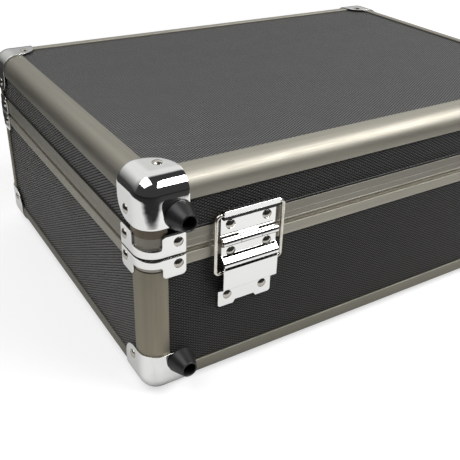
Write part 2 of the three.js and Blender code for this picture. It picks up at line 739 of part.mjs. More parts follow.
function baseLeaf() {
  const half = HINGE_WIDTH * HALF;
  const middle = KNUCKLE_MIDDLE * HALF + FIT_GAP;
  const sheet = HINGE_SHEET;
  const at = (drop) => BASE_HEIGHT - drop;
  const flangeOuter = panelProud + sheet;
  const section = outline([
    [FIT_GAP, at(0)],
    [FIT_GAP, at(LEAF_SHOULDER_DROP + sheet * HALF)],
    [RIDGE_PROUD - RIDGE_STEP - sheet, at(RIDGE_TOP_DROP + sheet * HALF)],
    [RIDGE_PROUD - RIDGE_STEP - sheet, at(POCKET_BOTTOM_DROP - sheet * HALF)],
    [panelProud, at(FLANGE_TOP_DROP - sheet * HALF)],
    [panelProud, at(FLANGE_BOTTOM_DROP)],
    [flangeOuter, at(FLANGE_BOTTOM_DROP)],
    [flangeOuter, at(FLANGE_TOP_DROP)],
    [RIDGE_PROUD - RIDGE_STEP, at(POCKET_BOTTOM_DROP)],
    [RIDGE_PROUD - RIDGE_STEP, at(RIDGE_BOTTOM_DROP + RIDGE_STEP)],
    [RIDGE_PROUD, at(RIDGE_BOTTOM_DROP)],
    [RIDGE_PROUD, at(RIDGE_TOP_DROP)],
    [leafOuter, at(LEAF_SHOULDER_DROP)],
    [leafOuter, at(0)],
  ]);
  const whole = joined(
    alongX(section, -half, half),
    barAlongX(KNUCKLE_RADIUS, -half, half, pivotProud, BASE_HEIGHT, KNUCKLE_SIDES),
    ...hingeRivets(leafOuter, at(BASE_LEAF_RIVET_DROP)),
    ...hingeRivets(flangeOuter, at(FLANGE_RIVET_DROP)),
  );
  const notchHalf = FLANGE_NOTCH_WIDTH * HALF;
  const notchWide = notchHalf + FLANGE_NOTCH_SLOPE;
  const notch = outline([
    [at(FLANGE_BOTTOM_DROP + CUT_OVERRUN), -notchWide],
    [at(FLANGE_BOTTOM_DROP), -notchWide],
    [at(FLANGE_BOTTOM_DROP - FLANGE_NOTCH_HEIGHT), -notchHalf],
    [at(FLANGE_BOTTOM_DROP - FLANGE_NOTCH_HEIGHT), notchHalf],
    [at(FLANGE_BOTTOM_DROP), notchWide],
    [at(FLANGE_BOTTOM_DROP + CUT_OVERRUN), notchWide],
  ]);
  const reach = half + CUT_OVERRUN;
  const knuckleReach = KNUCKLE_RADIUS + FIT_GAP;
  return cut(
    whole,
    alongY(notch, panelProud - CUT_OVERRUN, CUT_OVERRUN),
    box(-middle, middle, -CUT_OVERRUN, pivotProud + knuckleReach, at(knuckleReach), at(-knuckleReach)),
    barAlongX(pinBore, -reach, reach, pivotProud, BASE_HEIGHT, BORE_SIDES),
  );
}

function hingePin() {
  const start = HINGE_WIDTH * HALF + FIT_GAP;
  const end = start + PIN_HEAD;
  const profile = [[0, -end], [PIN_HEAD_RADIUS, -end], [PIN_HEAD_RADIUS, -start], [PIN_RADIUS, -start]];
  const mirrored = profile.map(([radius, x]) => [radius, -x]).reverse();
  const alongThePin = new THREE.Matrix4().makeRotationZ(-Math.PI * HALF);
  alongThePin.setPosition(0, pivotProud, BASE_HEIGHT);
  return moved(turned([...profile, ...mirrored], BORE_SIDES), alongThePin);
}

// A bent wire in the plane of x and z: straight runs with rounded bends, and flat ends
function bentWire(corners, radii, proud) {
  const path = [corners[0]];
  for (let i = 1; i < corners.length - 1; i += 1) {
    const before = corners[i - 1].clone().sub(corners[i]).normalize();
    const after = corners[i + 1].clone().sub(corners[i]).normalize();
    const radius = radii[i - 1];
    const centre = corners[i].clone().addScaledVector(before, radius).addScaledVector(after, radius);
    for (let step = 0; step <= BEND_STEPS; step += 1) {
      const angle = (step / BEND_STEPS) * Math.PI * HALF;
      const spoke = after.clone().multiplyScalar(-Math.cos(angle));
      spoke.addScaledVector(before, -Math.sin(angle));
      path.push(centre.clone().addScaledVector(spoke, radius));
    }
  }
  path.push(corners[corners.length - 1]);
  const positions = [];
  const index = [];
  path.forEach((point, row) => {
    const arriving = point.clone().sub(path[Math.max(row - 1, 0)]).normalize();
    const leaving = path[Math.min(row + 1, path.length - 1)].clone().sub(point).normalize();
    const along = arriving.clone().add(leaving).normalize();
    const reference = row === 0 ? leaving : arriving;
    const stretch = 1 / Math.abs(along.dot(reference));
    for (let side = 0; side < WIRE_SIDES; side += 1) {
      const angle = (side / WIRE_SIDES) * 2 * Math.PI;
      const across = WIRE_RADIUS * Math.cos(angle) * stretch;
      const outward = WIRE_RADIUS * Math.sin(angle);
      positions.push(point.x + along.y * across, proud + outward, point.y - along.x * across);
    }
    if (row > 0) {
      for (let side = 0; side < WIRE_SIDES; side += 1) {
        const next = (side + 1) % WIRE_SIDES;
        const here = row * WIRE_SIDES;
        const back = here - WIRE_SIDES;
        index.push(back + side, here + next, here + side, back + side, back + next, here + next);
      }
    }
  });
  const last = (path.length - 1) * WIRE_SIDES;
  for (let side = 1; side < WIRE_SIDES - 1; side += 1) {
    index.push(0, side + 1, side, last, last + side, last + side + 1);
  }
  const geometry = new THREE.BufferGeometry();
  geometry.setAttribute('position', new THREE.Float32BufferAttribute(positions, 3));
  geometry.setIndex(index);
  return geometry;
}

function stayWire() {
  const top = BASE_HEIGHT + CURL_RISE;
  const bottom = top - WIRE_DROP;
  const leg = WIRE_SPACING * HALF;
  const end = HINGE_WIDTH * HALF + WIRE_END_GAP;
  const corners = [[-end, bottom], [-leg, bottom], [-leg, top], [leg, top], [leg, bottom], [end, bottom]];
  const bends = [WIRE_FOOT_BEND_RADIUS, WIRE_BEND_RADIUS, WIRE_BEND_RADIUS, WIRE_FOOT_BEND_RADIUS];
  return bentWire(corners.map(([x, z]) => new THREE.Vector2(x, z)), bends, curlProud);
}

function addHinges() {
  for (const [sideName, side] of sides) {
    const place = wallPlace(1, side * hingeX);
    piece(`hinge_lid_leaf_${sideName}`, moved(lidLeaf(), place), chrome);
    piece(`hinge_base_leaf_${sideName}`, moved(baseLeaf(), place), chrome);
    piece(`hinge_pin_${sideName}`, moved(hingePin(), place), steel);
    piece(`stay_wire_${sideName}`, moved(stayWire(), place), steel);
  }
}

// Latches, in wall coordinates round x = 0
function latchRivets(halfSpacing, proud, heights) {
  const head = rivetHead(LATCH_RIVET_RADIUS, LATCH_RIVET_HEAD);
  return heights.flatMap((height) => (
    [-1, 1].map((side) => shifted(head, side * halfSpacing, proud, height))
  ));
}

function latchLidPlate() {
  const half = LATCH_PLATE_WIDTH * HALF;
  const haspHalf = HASP_WIDTH * HALF + FIT_GAP;
  const bottom = BASE_HEIGHT + LATCH_PLATE_BOTTOM_RISE;
  const outer = FIT_GAP + LATCH_SHEET;
  const radius = LATCH_KNUCKLE_RADIUS;
  const whole = joined(
    box(-half, half, FIT_GAP, outer, bottom, latchPivotHeight),
    barAlongX(radius, -half, half, latchPivotProud, latchPivotHeight, KNUCKLE_SIDES),
    ...latchRivets(LATCH_PLATE_RIVET_X, outer, [BASE_HEIGHT + LATCH_PLATE_RIVET_RISE]),
  );
  const roomRadius = radius + FIT_GAP;
  const room = cut(
    whole,
    barAlongX(roomRadius, -haspHalf, haspHalf, latchPivotProud, latchPivotHeight, KNUCKLE_SIDES),
    box(-haspHalf, haspHalf, FIT_GAP - CUT_OVERRUN, outer + CUT_OVERRUN,
      latchPivotHeight - roomRadius, latchPivotHeight + roomRadius),
  );
  const pin = barAlongX(LATCH_PIN_RADIUS, -half, half, latchPivotProud, latchPivotHeight, BORE_SIDES);
  return joined(room, pin);
}

function hasp() {
  const half = HASP_WIDTH * HALF;
  const inner = panelProud + LOCK_PROUD - LOCK_RECESS_DEPTH + FIT_GAP;
  const outer = inner + LATCH_SHEET;
  const bottom = latchPivotHeight - HASP_LENGTH;
  const plate = alongY(
    roundedRect(bottom, latchPivotHeight + HASP_END_RADIUS, -half, half, HASP_END_RADIUS),
    inner, outer, LOBE_STEPS,
  );
  const trimmed = common(plate, box(-half, half, inner, outer, bottom, latchPivotHeight));
  const bossHeight = latchPivotHeight - HASP_BOSS_DROP;
  const boss = turned([
    [0, inner],
    [HASP_BOSS_RADIUS, inner],
    [HASP_BOSS_RADIUS, outer + HASP_BOSS_HEIGHT * HALF],
    [HASP_BOSS_RADIUS - HASP_BOSS_HEIGHT * HALF, outer + HASP_BOSS_HEIGHT],
    [0, outer + HASP_BOSS_HEIGHT],
  ], KNUCKLE_SIDES);
  const tongueTop = latchPivotHeight - HASP_TONGUE_DROP;
  const tongueHalf = HASP_TONGUE_WIDTH * HALF;
  const tongueBack = inner - HASP_TONGUE_DEPTH;
  const whole = joined(
    trimmed,
    barAlongX(LATCH_KNUCKLE_RADIUS, -half, half, latchPivotProud, latchPivotHeight, KNUCKLE_SIDES),
    shifted(boss, 0, 0, bossHeight),
    box(-tongueHalf, tongueHalf, tongueBack, outer, tongueTop - HASP_TONGUE_HEIGHT, tongueTop),
  );
  const reach = half + CUT_OVERRUN;
  const bore = LATCH_PIN_RADIUS + PIN_CLEARANCE;
  return cut(whole, barAlongX(bore, -reach, reach, latchPivotProud, latchPivotHeight, BORE_SIDES));
}

function lockBody() {
  const half = LOCK_WIDTH * HALF;
  const flangeHalf = LOCK_FLANGE_WIDTH * HALF;
  const bottom = lockTop - LOCK_HEIGHT;
  const flangeOuter = panelProud + LOCK_FLANGE_THICKNESS;
  const outer = panelProud + LOCK_PROUD;
  const flange = roundedRect(bottom, lockTop, -flangeHalf, flangeHalf, LOCK_FLANGE_RADIUS);
  const housing = roundedRect(bottom, lockTop, -half, half, LOCK_CORNER_RADIUS);
  const whole = joined(
    alongY(flange, panelProud, flangeOuter),
    alongY(housing, panelProud, outer),
    ...latchRivets(LOCK_RIVET_X, flangeOuter, [bottom + LOCK_RIVET_INSET, lockTop - LOCK_RIVET_INSET]),
  );
  const recessHalf = LOCK_RECESS_WIDTH * HALF;
  const recessBottom = latchPivotHeight - HASP_LENGTH - LOCK_RECESS_EASE;
  const notchHalf = LOCK_NOTCH_WIDTH * HALF;
  const notchBottom = latchPivotHeight - HASP_TONGUE_DROP - HASP_TONGUE_HEIGHT - LOCK_RECESS_EASE;
  const recessBack = outer - LOCK_RECESS_DEPTH;
  const slotHalf = (SLIDE_STEM_WIDTH + SLIDE_SLOT_EASE) * HALF;
  const slotHeightHalf = (SLIDE_STEM_HEIGHT + SLIDE_SLOT_EASE) * HALF;
  const slotMiddle = bottom + SLIDE_RISE;
  const above = lockTop + CUT_OVERRUN;
  const front = outer + CUT_OVERRUN;
  return cut(
    whole,
    box(-recessHalf, recessHalf, recessBack, front, recessBottom, above),
    box(-notchHalf, notchHalf, recessBack - HASP_TONGUE_DEPTH - FIT_GAP, front, notchBottom, above),
    box(-slotHalf, slotHalf + SLIDE_TRAVEL, outer - SLIDE_STEM_DEPTH - FIT_GAP, front,
      slotMiddle - slotHeightHalf, slotMiddle + slotHeightHalf),
  );
}

function releaseSlide() {
  const outer = panelProud + LOCK_PROUD;
  const middle = lockTop - LOCK_HEIGHT + SLIDE_RISE;
  const halfWidth = SLIDE_WIDTH * HALF;
  const halfHeight = SLIDE_HEIGHT * HALF;
  const stemHalf = SLIDE_STEM_WIDTH * HALF;
  const stemHeightHalf = SLIDE_STEM_HEIGHT * HALF;
  const low = middle - halfHeight;
  const knob = roundedRect(low, middle + halfHeight, -halfWidth, halfWidth, SLIDE_EDGE_RADIUS);
  return joined(
    alongY(knob, outer + FIT_GAP, outer + FIT_GAP + SLIDE_PROUD, LOBE_STEPS),
    box(-stemHalf, stemHalf, outer - SLIDE_STEM_DEPTH, outer + SLIDE_PROUD,
      middle - stemHeightHalf, middle + stemHeightHalf),
  );
}

function addLatches() {
  for (const [sideName, side] of sides) {
    const place = wallPlace(-1, side * latchX, side);
    piece(`latch_lid_plate_${sideName}`, moved(latchLidPlate(), place), chrome);
    piece(`latch_hasp_${sideName}`, moved(hasp(), place), chrome);
    piece(`latch_lock_body_${sideName}`, moved(lockBody(), place), chrome);
    piece(`latch_release_slide_${sideName}`, moved(releaseSlide(), place), steel);
  }
}

// Carrying handle: a grip with two arms that swing on pins in the bosses of the brackets
function handleBracket() {
  const half = HANDLE_PLATE_WIDTH * HALF;
  const low = handlePivotHeight - HANDLE_PLATE_HEIGHT * HALF;
  const high = handlePivotHeight + HANDLE_PLATE_HEIGHT * HALF;
  const outer = panelProud + HANDLE_PLATE_THICKNESS;
  const bossHalf = HANDLE_BOSS_WIDTH * HALF;
  const radius = HANDLE_BOSS_RADIUS;
  const rivet = rivetHead();
  const rivetReach = HANDLE_RIVET_SPACING * HALF;
  const plate = roundedRect(low, high, -half, half, HANDLE_PLATE_RADIUS);
  const whole = joined(
    alongY(plate, panelProud, outer),
    barAlongX(radius, -bossHalf, bossHalf, HANDLE_PIVOT_PROUD, handlePivotHeight, KNUCKLE_SIDES),
    box(-bossHalf, bossHalf, panelProud, HANDLE_PIVOT_PROUD,
      handlePivotHeight - radius, handlePivotHeight + radius),
    shifted(rivet, 0, outer, handlePivotHeight - rivetReach),
    shifted(rivet, 0, outer, handlePivotHeight + rivetReach),
  );
  const reach = bossHalf + CUT_OVERRUN;
  const bore = HANDLE_PIN_RADIUS + HANDLE_PIN_CLEARANCE;
  return cut(whole, barAlongX(bore, -reach, reach, HANDLE_PIVOT_PROUD, handlePivotHeight, BORE_SIDES));
}

function handleGrip() {
  const half = HANDLE_WIDTH * HALF;
  const armInner = half - HANDLE_ARM_THICKNESS;
  const gripHeight = handlePivotHeight - HANDLE_DROP;
  const profile = [
    [0, -armInner],
    [HANDLE_GRIP_END_RADIUS, -armInner],
    [HANDLE_GRIP_RADIUS, -armInner * HALF],
  ];
  const mirrored = profile.map(([radius, x]) => [radius, -x]).reverse();
  const alongTheGrip = new THREE.Matrix4().makeRotationZ(-Math.PI * HALF);
  alongTheGrip.setPosition(0, HANDLE_PIVOT_PROUD, gripHeight);
  const grip = moved(turned([...profile, ...mirrored], GRIP_SIDES), alongTheGrip);
  const armHalf = HANDLE_ARM_WIDTH * HALF;
  const arm = roundedRect(
    HANDLE_PIVOT_PROUD - armHalf, HANDLE_PIVOT_PROUD + armHalf,
    gripHeight - armHalf, handlePivotHeight + armHalf, armHalf,
  );
  const pinEnd = half + FIT_GAP + HANDLE_BOSS_WIDTH;
  const parts = [-1, 1].flatMap((side) => {
    const [from, to] = [side * armInner, side * half].sort((a, b) => a - b);
    const [pinFrom, pinTo] = [side * armInner, side * pinEnd].sort((a, b) => a - b);
    return [
      alongX(arm, from, to, LOBE_STEPS),
      barAlongX(HANDLE_PIN_RADIUS, pinFrom, pinTo, HANDLE_PIVOT_PROUD, handlePivotHeight, BORE_SIDES),
    ];
  });
  return joined(grip, ...parts);
}

function addHandle() {
  const bossMiddle = (HANDLE_WIDTH + HANDLE_BOSS_WIDTH) * HALF + FIT_GAP;
  for (const [sideName, side] of sides) {
    piece(`handle_bracket_${sideName}`, moved(handleBracket(), wallPlace(-1, side * bossMiddle)), chrome);
  }
  piece('handle_grip', moved(handleGrip(), wallPlace(-1, 0)), gripFinish);
}

for (const [half, isLid] of halves) {
  addEdgeProfiles(half, isLid);
}
addBasePosts();
addPanels();
addRims();
addFoam();
addCaps();
addBrackets();
addFeet();
addHinges();
addLatches();
addHandle();

export default hardCase;
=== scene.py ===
"""Aluminium-framed hard case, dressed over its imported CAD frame."""
import math

import bmesh
import bpy
from mathutils import Matrix, Vector
from mathutils.geometry import delaunay_2d_cdt


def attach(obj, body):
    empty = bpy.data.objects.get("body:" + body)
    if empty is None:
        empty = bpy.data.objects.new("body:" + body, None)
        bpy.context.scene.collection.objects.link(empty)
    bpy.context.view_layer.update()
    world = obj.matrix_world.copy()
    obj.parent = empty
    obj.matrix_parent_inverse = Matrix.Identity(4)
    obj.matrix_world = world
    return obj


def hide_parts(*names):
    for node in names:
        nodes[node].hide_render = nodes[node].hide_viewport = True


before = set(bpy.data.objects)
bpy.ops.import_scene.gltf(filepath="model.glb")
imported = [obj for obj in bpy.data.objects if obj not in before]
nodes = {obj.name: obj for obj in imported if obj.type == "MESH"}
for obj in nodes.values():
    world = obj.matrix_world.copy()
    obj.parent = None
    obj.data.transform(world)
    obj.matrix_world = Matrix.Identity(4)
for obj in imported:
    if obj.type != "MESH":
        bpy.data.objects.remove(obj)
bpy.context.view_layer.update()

# Shapes are drawn in millimetres, measured from the case's middle and from the bottom
# plane of its edge profiles. The row's frame is this far from there
MM = 0.001
ROW_SHIFT = Vector((0.0, 2.85, 1.3))

LENGTH, DEPTH, HEIGHT = 500.0, 359.0, 191.0
HALF_X, HALF_Y = LENGTH / 2, DEPTH / 2
PARTING = 129.0
FIT = 0.3
LEG, EDGE_R, WALL = 20.0, 14.6, 1.5
SETBACK = 22.0
PANEL_FACE = -1.5
CAP_PROUD = 1.3
CAP_ARM, CAP_LOBE, CAP_LOBE_TOP = 37.7, 16.0, 22.5
RIVET_R, RIVET_HEAD, RIVET_RIM = 4.0, 1.7, 0.22
BRACKET_ARM, BRACKET_SHEET = 34.2, 1.2
POST_TOP = 116.5
LID_RIM_TOP = 145.6
FOOT_INSET = 29.0
HINGE_HALF = 25.0
HANDLE_X = 76.3
HINGE_X = 161.5
LATCH_X = 161.5
SIDES = (("left", -1), ("right", 1))
FACES = (("front", -1), ("back", 1))
HALVES = (("base", False), ("lid", True))


# Geometry is a pair of lists, points and faces
def joined(*shapes):
    points, faces = [], []
    for shape_points, shape_faces in shapes:
        start = len(points)
        points.extend(shape_points)
        faces.extend([tuple(i + start for i in face) for face in shape_faces])
    return points, faces


def moved(shape, matrix):
    points = [matrix @ Vector(p) for p in shape[0]]
    faces = shape[1]
    if matrix.determinant() < 0:
        faces = [tuple(reversed(face)) for face in faces]
    return points, faces


def shifted(shape, x=0.0, y=0.0, z=0.0):
    return moved(shape, Matrix.Translation((x, y, z)))


def matrix_of(x_axis, y_axis, z_axis, origin):
    m = Matrix.Identity(4)
    for column, axis in enumerate((x_axis, y_axis, z_axis, origin)):
        for row in range(3):
            m[row][column] = axis[row]
    return m


def corner_place(side, face, is_lid):
    """Corner coordinates run inwards from the three faces that meet there."""
    return matrix_of((-side, 0, 0), (0, -face, 0), (0, 0, -1 if is_lid else 1),
                     (side * HALF_X, face * HALF_Y, HEIGHT if is_lid else 0.0))


def wall_place(face, x, hand=1):
    """Wall coordinates are x, distance proud of the wall's face, and height."""
    return matrix_of((hand, 0, 0), (0, face, 0), (0, 0, 1), (x, face * HALF_Y, 0.0))


def arc(cx, cy, radius, start, end, steps):
    """Points of an arc, angles in degrees."""
    result = []
    for i in range(steps + 1):
        angle = math.radians(start + (end - start) * i / steps)
        result.append((cx + radius * math.cos(angle), cy + radius * math.sin(angle)))
    return result


def filleted(points, radii, steps=5):
    """A closed outline with its corners rounded."""
    result = []
    count = len(points)
    if not isinstance(radii, (list, tuple)):
        radii = [radii] * count
    for i, point in enumerate(points):
        p = Vector(point)
        before = Vector(points[i - 1]) - p
        after = Vector(points[(i + 1) % count]) - p
        radius = radii[i]
        if radius <= 0:
            result.append(tuple(p))
            continue
        turn = before.angle(after)
        reach = min(radius / math.tan(turn / 2), 0.49 * before.length, 0.49 * after.length)
        radius = reach * math.tan(turn / 2)
        a, b = before.normalized(), after.normalized()
        centre = p + (a + b).normalized() * (radius / math.sin(turn / 2))
        spoke_a = (p + a * reach) - centre
        spoke_b = (p + b * reach) - centre
        sweep = spoke_a.angle_signed(spoke_b)
        for step in range(steps + 1):
            angle = -sweep * step / steps
            c, s = math.cos(angle), math.sin(angle)
            result.append((centre.x + spoke_a.x * c - spoke_a.y * s,
                           centre.y + spoke_a.x * s + spoke_a.y * c))
    return result


def rounded_rect(x0, x1, y0, y1, radius, steps=6):
    return filleted([(x0, y0), (x1, y0), (x1, y1), (x0, y1)], radius, steps)


def circle(cx, cy, radius, steps=32):
    return arc(cx, cy, radius, 0, 360, steps)[:-1]


PLANES = {
    "x": lambda a, b, t: (t, a, b),
    "y": lambda a, b, t: (b, t, a),
    "z": lambda a, b, t: (a, b, t),
}


def edges_of(outline):
    return zip(outline, outline[1:] + outline[:1])


def band(low, high, count):
    """Faces between two closed rings of points, from the index at which each ring starts."""
    return [(low + i, low + (i + 1) % count, high + (i + 1) % count, high + i)
            for i in range(count)]


def grid_faces(start, columns, rows):
    """Faces of a grid of points, stored column by column from the start index."""
    faces = []
    for i in range(columns):
        for j in range(rows):
            a = start + i * (rows + 1) + j
            faces.append((a, a + rows + 1, a + rows + 2, a + 1))
    return faces


def prism(outline, start, end, axis):
    """An outline drawn in y and z, z and x, or x and y, extruded along the third axis."""
    outline = list(outline)
    if sum(a[0] * b[1] - b[0] * a[1] for a, b in edges_of(outline)) < 0:
        outline.reverse()
    place = PLANES[axis]
    count = len(outline)
    points = [place(a, b, t) for t in (start, end) for a, b in outline]
    ends = [tuple(reversed(range(count))), tuple(range(count, 2 * count))]
    return points, ends + band(0, count, count)


def block(x0, x1, y0, y1, z0, z1):
    return prism([(x0, y0), (x1, y0), (x1, y1), (x0, y1)], z0, z1, "z")


def turned(profile, sides, axis="y"):
    """A turned solid round an axis through the origin, from points of radius and height."""
    frames = {"y": lambda r, h, c, s: (r * s, h, r * c),
              "x": lambda r, h, c, s: (h, r * c, r * s)}
    place = frames[axis]
    points, rings, faces = [], [], []
    for radius, height in profile:
        count = sides if radius > 0 else 1
        rings.append(range(len(points), len(points) + count))
        for i in range(count):
            angle = 2 * math.pi * i / sides
            points.append(place(radius, height, math.cos(angle), math.sin(angle)))
    for lower, upper in zip(rings, rings[1:]):
        for i in range(sides):
            j = (i + 1) % sides
            if len(lower) == 1:
                faces.append((lower[0], upper[j], upper[i]))
            elif len(upper) == 1:
                faces.append((lower[i], lower[j], upper[0]))
            else:
                faces.append((lower[i], lower[j], upper[j], upper[i]))
    return points, faces


def tube(path, radius, sides):
    """A bar that follows a path in the plane of x and z."""
    points, faces = [], []
    path = [Vector(p) for p in path]
    for row, point in enumerate(path):
        ahead = path[min(row + 1, len(path) - 1)] - point
        behind = point - path[max(row - 1, 0)]
        along = (ahead.normalized() + behind.normalized()).normalized()
        across = along.cross(Vector((0, 1, 0))).normalized()
        for i in range(sides):
            angle = 2 * math.pi * i / sides
            aside = Vector((0, radius * math.sin(angle), 0))
            points.append(point + (across * (radius * math.cos(angle)) + aside))
        if row:
            faces += band((row - 1) * sides, row * sides, sides)
    last = (len(path) - 1) * sides
    faces.append(tuple(reversed(range(sides))))
    faces.append(tuple(last + i for i in range(sides)))
    return points, faces


def ring_sweep(section, steps=12, radius=EDGE_R):
    """A closed ring round the case, swept from a section of inset and height points."""
    points, faces = [], []
    loop = 4 * (steps + 1)
    for inset, height in section:
        for corner in range(4):
            cx = (1 if corner in (0, 3) else -1) * (HALF_X - radius)
            cy = (1 if corner < 2 else -1) * (HALF_Y - radius)
            for step in range(steps + 1):
                angle = (corner + step / steps) * math.pi / 2
                r = radius - inset
                points.append((cx + r * math.cos(angle), cy + r * math.sin(angle), height))
    for row in range(len(section)):
        faces += band(row * loop, (row + 1) % len(section) * loop, loop)
    return points, faces


def filled_sheet(outline, spacing, place, columns, margin=0.35):
    """A flat outline filled with small triangles, then bent to shape by the place function."""
    points = [Vector(p) for p in outline]
    count = len(points)
    low_a, high_a = min(p.x for p in points), max(p.x for p in points)
    low_b, high_b = min(p.y for p in points), max(p.y for p in points)
    steps = range(1, int((high_a - low_a) / spacing))
    grid_a = sorted(set(columns) | {low_a + spacing * i for i in steps})
    rows = max(2, int((high_b - low_b) / spacing))
    for a in grid_a:
        for j in range(1, rows):
            b = low_b + (high_b - low_b) * j / rows
            if inside(a, b, outline, margin):
                points.append(Vector((a, b)))
    edges = [(i, (i + 1) % count) for i in range(count)]
    out_points, _, triangles, _, _, _ = delaunay_2d_cdt(points, edges, [], 1, 1e-5)
    return [place(p.x, p.y) for p in out_points], [tuple(t) for t in triangles]


def crossed(outline, columns, near=0.05):
    """An outline with a point wherever an edge crosses a column, but not near its ends."""
    result = []
    for (a0, b0), (a1, b1) in edges_of(outline):
        result.append((a0, b0))
        low, high = min(a0, a1) + near, max(a0, a1) - near
        for a in sorted((c for c in columns if low < c < high), reverse=a1 < a0):
            result.append((a, b0 + (b1 - b0) * (a - a0) / (a1 - a0)))
    return result


def inside(a, b, outline, margin):
    """Whether a point lies in an outline, at least the margin away from its edges."""
    hit = False
    for (a0, b0), (a1, b1) in edges_of(outline):
        if (b0 > b) != (b1 > b) and a < (a1 - a0) * (b - b0) / (b1 - b0) + a0:
            hit = not hit
        along = Vector((a1 - a0, b1 - b0))
        span = along.length_squared or 1.0
        t = min(1.0, max(0.0, ((a - a0) * along.x + (b - b0) * along.y) / span))
        if math.hypot(a - a0 - along.x * t, b - b0 - along.y * t) < margin:
            return False
    return hit


# Objects
def build(name, shape, material, body=None, stands_for=None, smooth=40.0):
    """An object that may ride on a body and stand for one of the frame's nodes."""
    mesh = bpy.data.meshes.new(name)
    mesh.from_pydata([(Vector(p) + ROW_SHIFT) * MM for p in shape[0]], [], shape[1])
    mesh.validate()
    bm = bmesh.new()
    bm.from_mesh(mesh)
    bmesh.ops.remove_doubles(bm, verts=bm.verts, dist=2e-6)
    bmesh.ops.recalc_face_normals(bm, faces=bm.faces)
    bm.to_mesh(mesh)
    bm.free()
    piece = bpy.data.objects.new(name, mesh)
    bpy.context.scene.collection.objects.link(piece)
    mesh.materials.append(material)
    shade(mesh, smooth)
    if body:
        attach(piece, body)
    if stands_for:
        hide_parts(stands_for)
    return piece


def part(name, shape, place, material, body, stands_for=None, smooth=40.0,
         cuts=(), bevel=None):
    """A piece in its place. Cuts are shapes taken away, and bevel is a width and a step count."""
    piece = build(name, moved(shape, place), material, body, stands_for, smooth)
    cut_away(piece, [moved(tool, place) for tool in cuts])
    if bevel:
        bevelled(piece, *bevel)


def shade(mesh, angle):
    mesh.shade_smooth()
    mesh.set_sharp_from_angle(angle=math.radians(angle))


def settled(piece):
    """Applies the piece's modifiers to its mesh."""
    graph = bpy.context.evaluated_depsgraph_get()
    graph.update()
    mesh = bpy.data.meshes.new_from_object(piece.evaluated_get(graph))
    piece.modifiers.clear()
    piece.data = mesh
    return piece


def bevelled(piece, width, segments, angle=50.0, smooth=40.0):
    """Rounds the edges, and keeps flat faces flat to the eye where they meet the roundings."""
    mod = piece.modifiers.new("edge", "BEVEL")
    mod.width = width * MM
    mod.segments = segments
    mod.limit_method = "ANGLE"
    mod.angle_limit = math.radians(angle)
    mod.use_clamp_overlap = True
    shade(settled(piece).data, smooth)
    mod = piece.modifiers.new("normals", "WEIGHTED_NORMAL")
    mod.mode = "FACE_AREA"
    mod.weight = 60
    mod.keep_sharp = True
    return settled(piece)


def thickened(piece, thickness, offset, rim_width, smooth=50.0):
    """Gives a surface its thickness and rounds its rim."""
    mod = piece.modifiers.new("sheet", "SOLIDIFY")
    mod.thickness = thickness * MM
    mod.offset = offset
    mod.use_even_offset = True
    shade(settled(piece).data, smooth)
    return bevelled(piece, rim_width, 2, 60.0, smooth)


def cut_away(piece, tools, smooth=40.0):
    for index, shape in enumerate(tools):
        tool = build(f"tool_{piece.name}_{index}", shape, piece.data.materials[0])
        mod = piece.modifiers.new("tool", "BOOLEAN")
        mod.operation = "DIFFERENCE"
        mod.solver = "EXACT"
        mod.object = tool
        shade(settled(piece).data, smooth)
        bpy.data.objects.remove(tool)


def taken(piece):
    """A piece's mesh as a shape again. The piece itself goes."""
    shape = ([tuple(v.co / MM - ROW_SHIFT) for v in piece.data.vertices],
             [tuple(p.vertices) for p in piece.data.polygons])
    bpy.data.objects.remove(piece)
    return shape


# Materials, with lengths in metres
def grey(level):
    return (level, level, level)


def scaled(tone, factor):
    return tuple(c * factor for c in tone)


class Nodes:
    """Adds nodes to a tree."""

    def __init__(self, tree):
        self.tree = tree

    def node(self, kind, **values):
        node = self.tree.nodes.new(kind)
        for key, value in values.items():
            setattr(node, key, value)
        return node

    def link(self, source, target):
        self.tree.links.new(source, target)

    def math(self, operation, *values):
        node = self.node("ShaderNodeMath", operation=operation)
        for socket, value in zip(node.inputs, values):
            if isinstance(value, (int, float)):
                socket.default_value = value
            else:
                self.link(value, socket)
        return node.outputs[0]

    def axes(self, vector):
        node = self.node("ShaderNodeSeparateXYZ")
        self.link(vector, node.inputs[0])
        return node.outputs

    def spread(self, value, low, high, out_low, out_high, ease="LINEAR"):
        """Takes one range to another, and stays at its ends outside it."""
        node = self.node("ShaderNodeMapRange", interpolation_type=ease)
        self.link(value, node.inputs["Value"])
        for name, number in (("From Min", low), ("From Max", high),
                             ("To Min", out_low), ("To Max", out_high)):
            node.inputs[name].default_value = number
        return node.outputs["Result"]


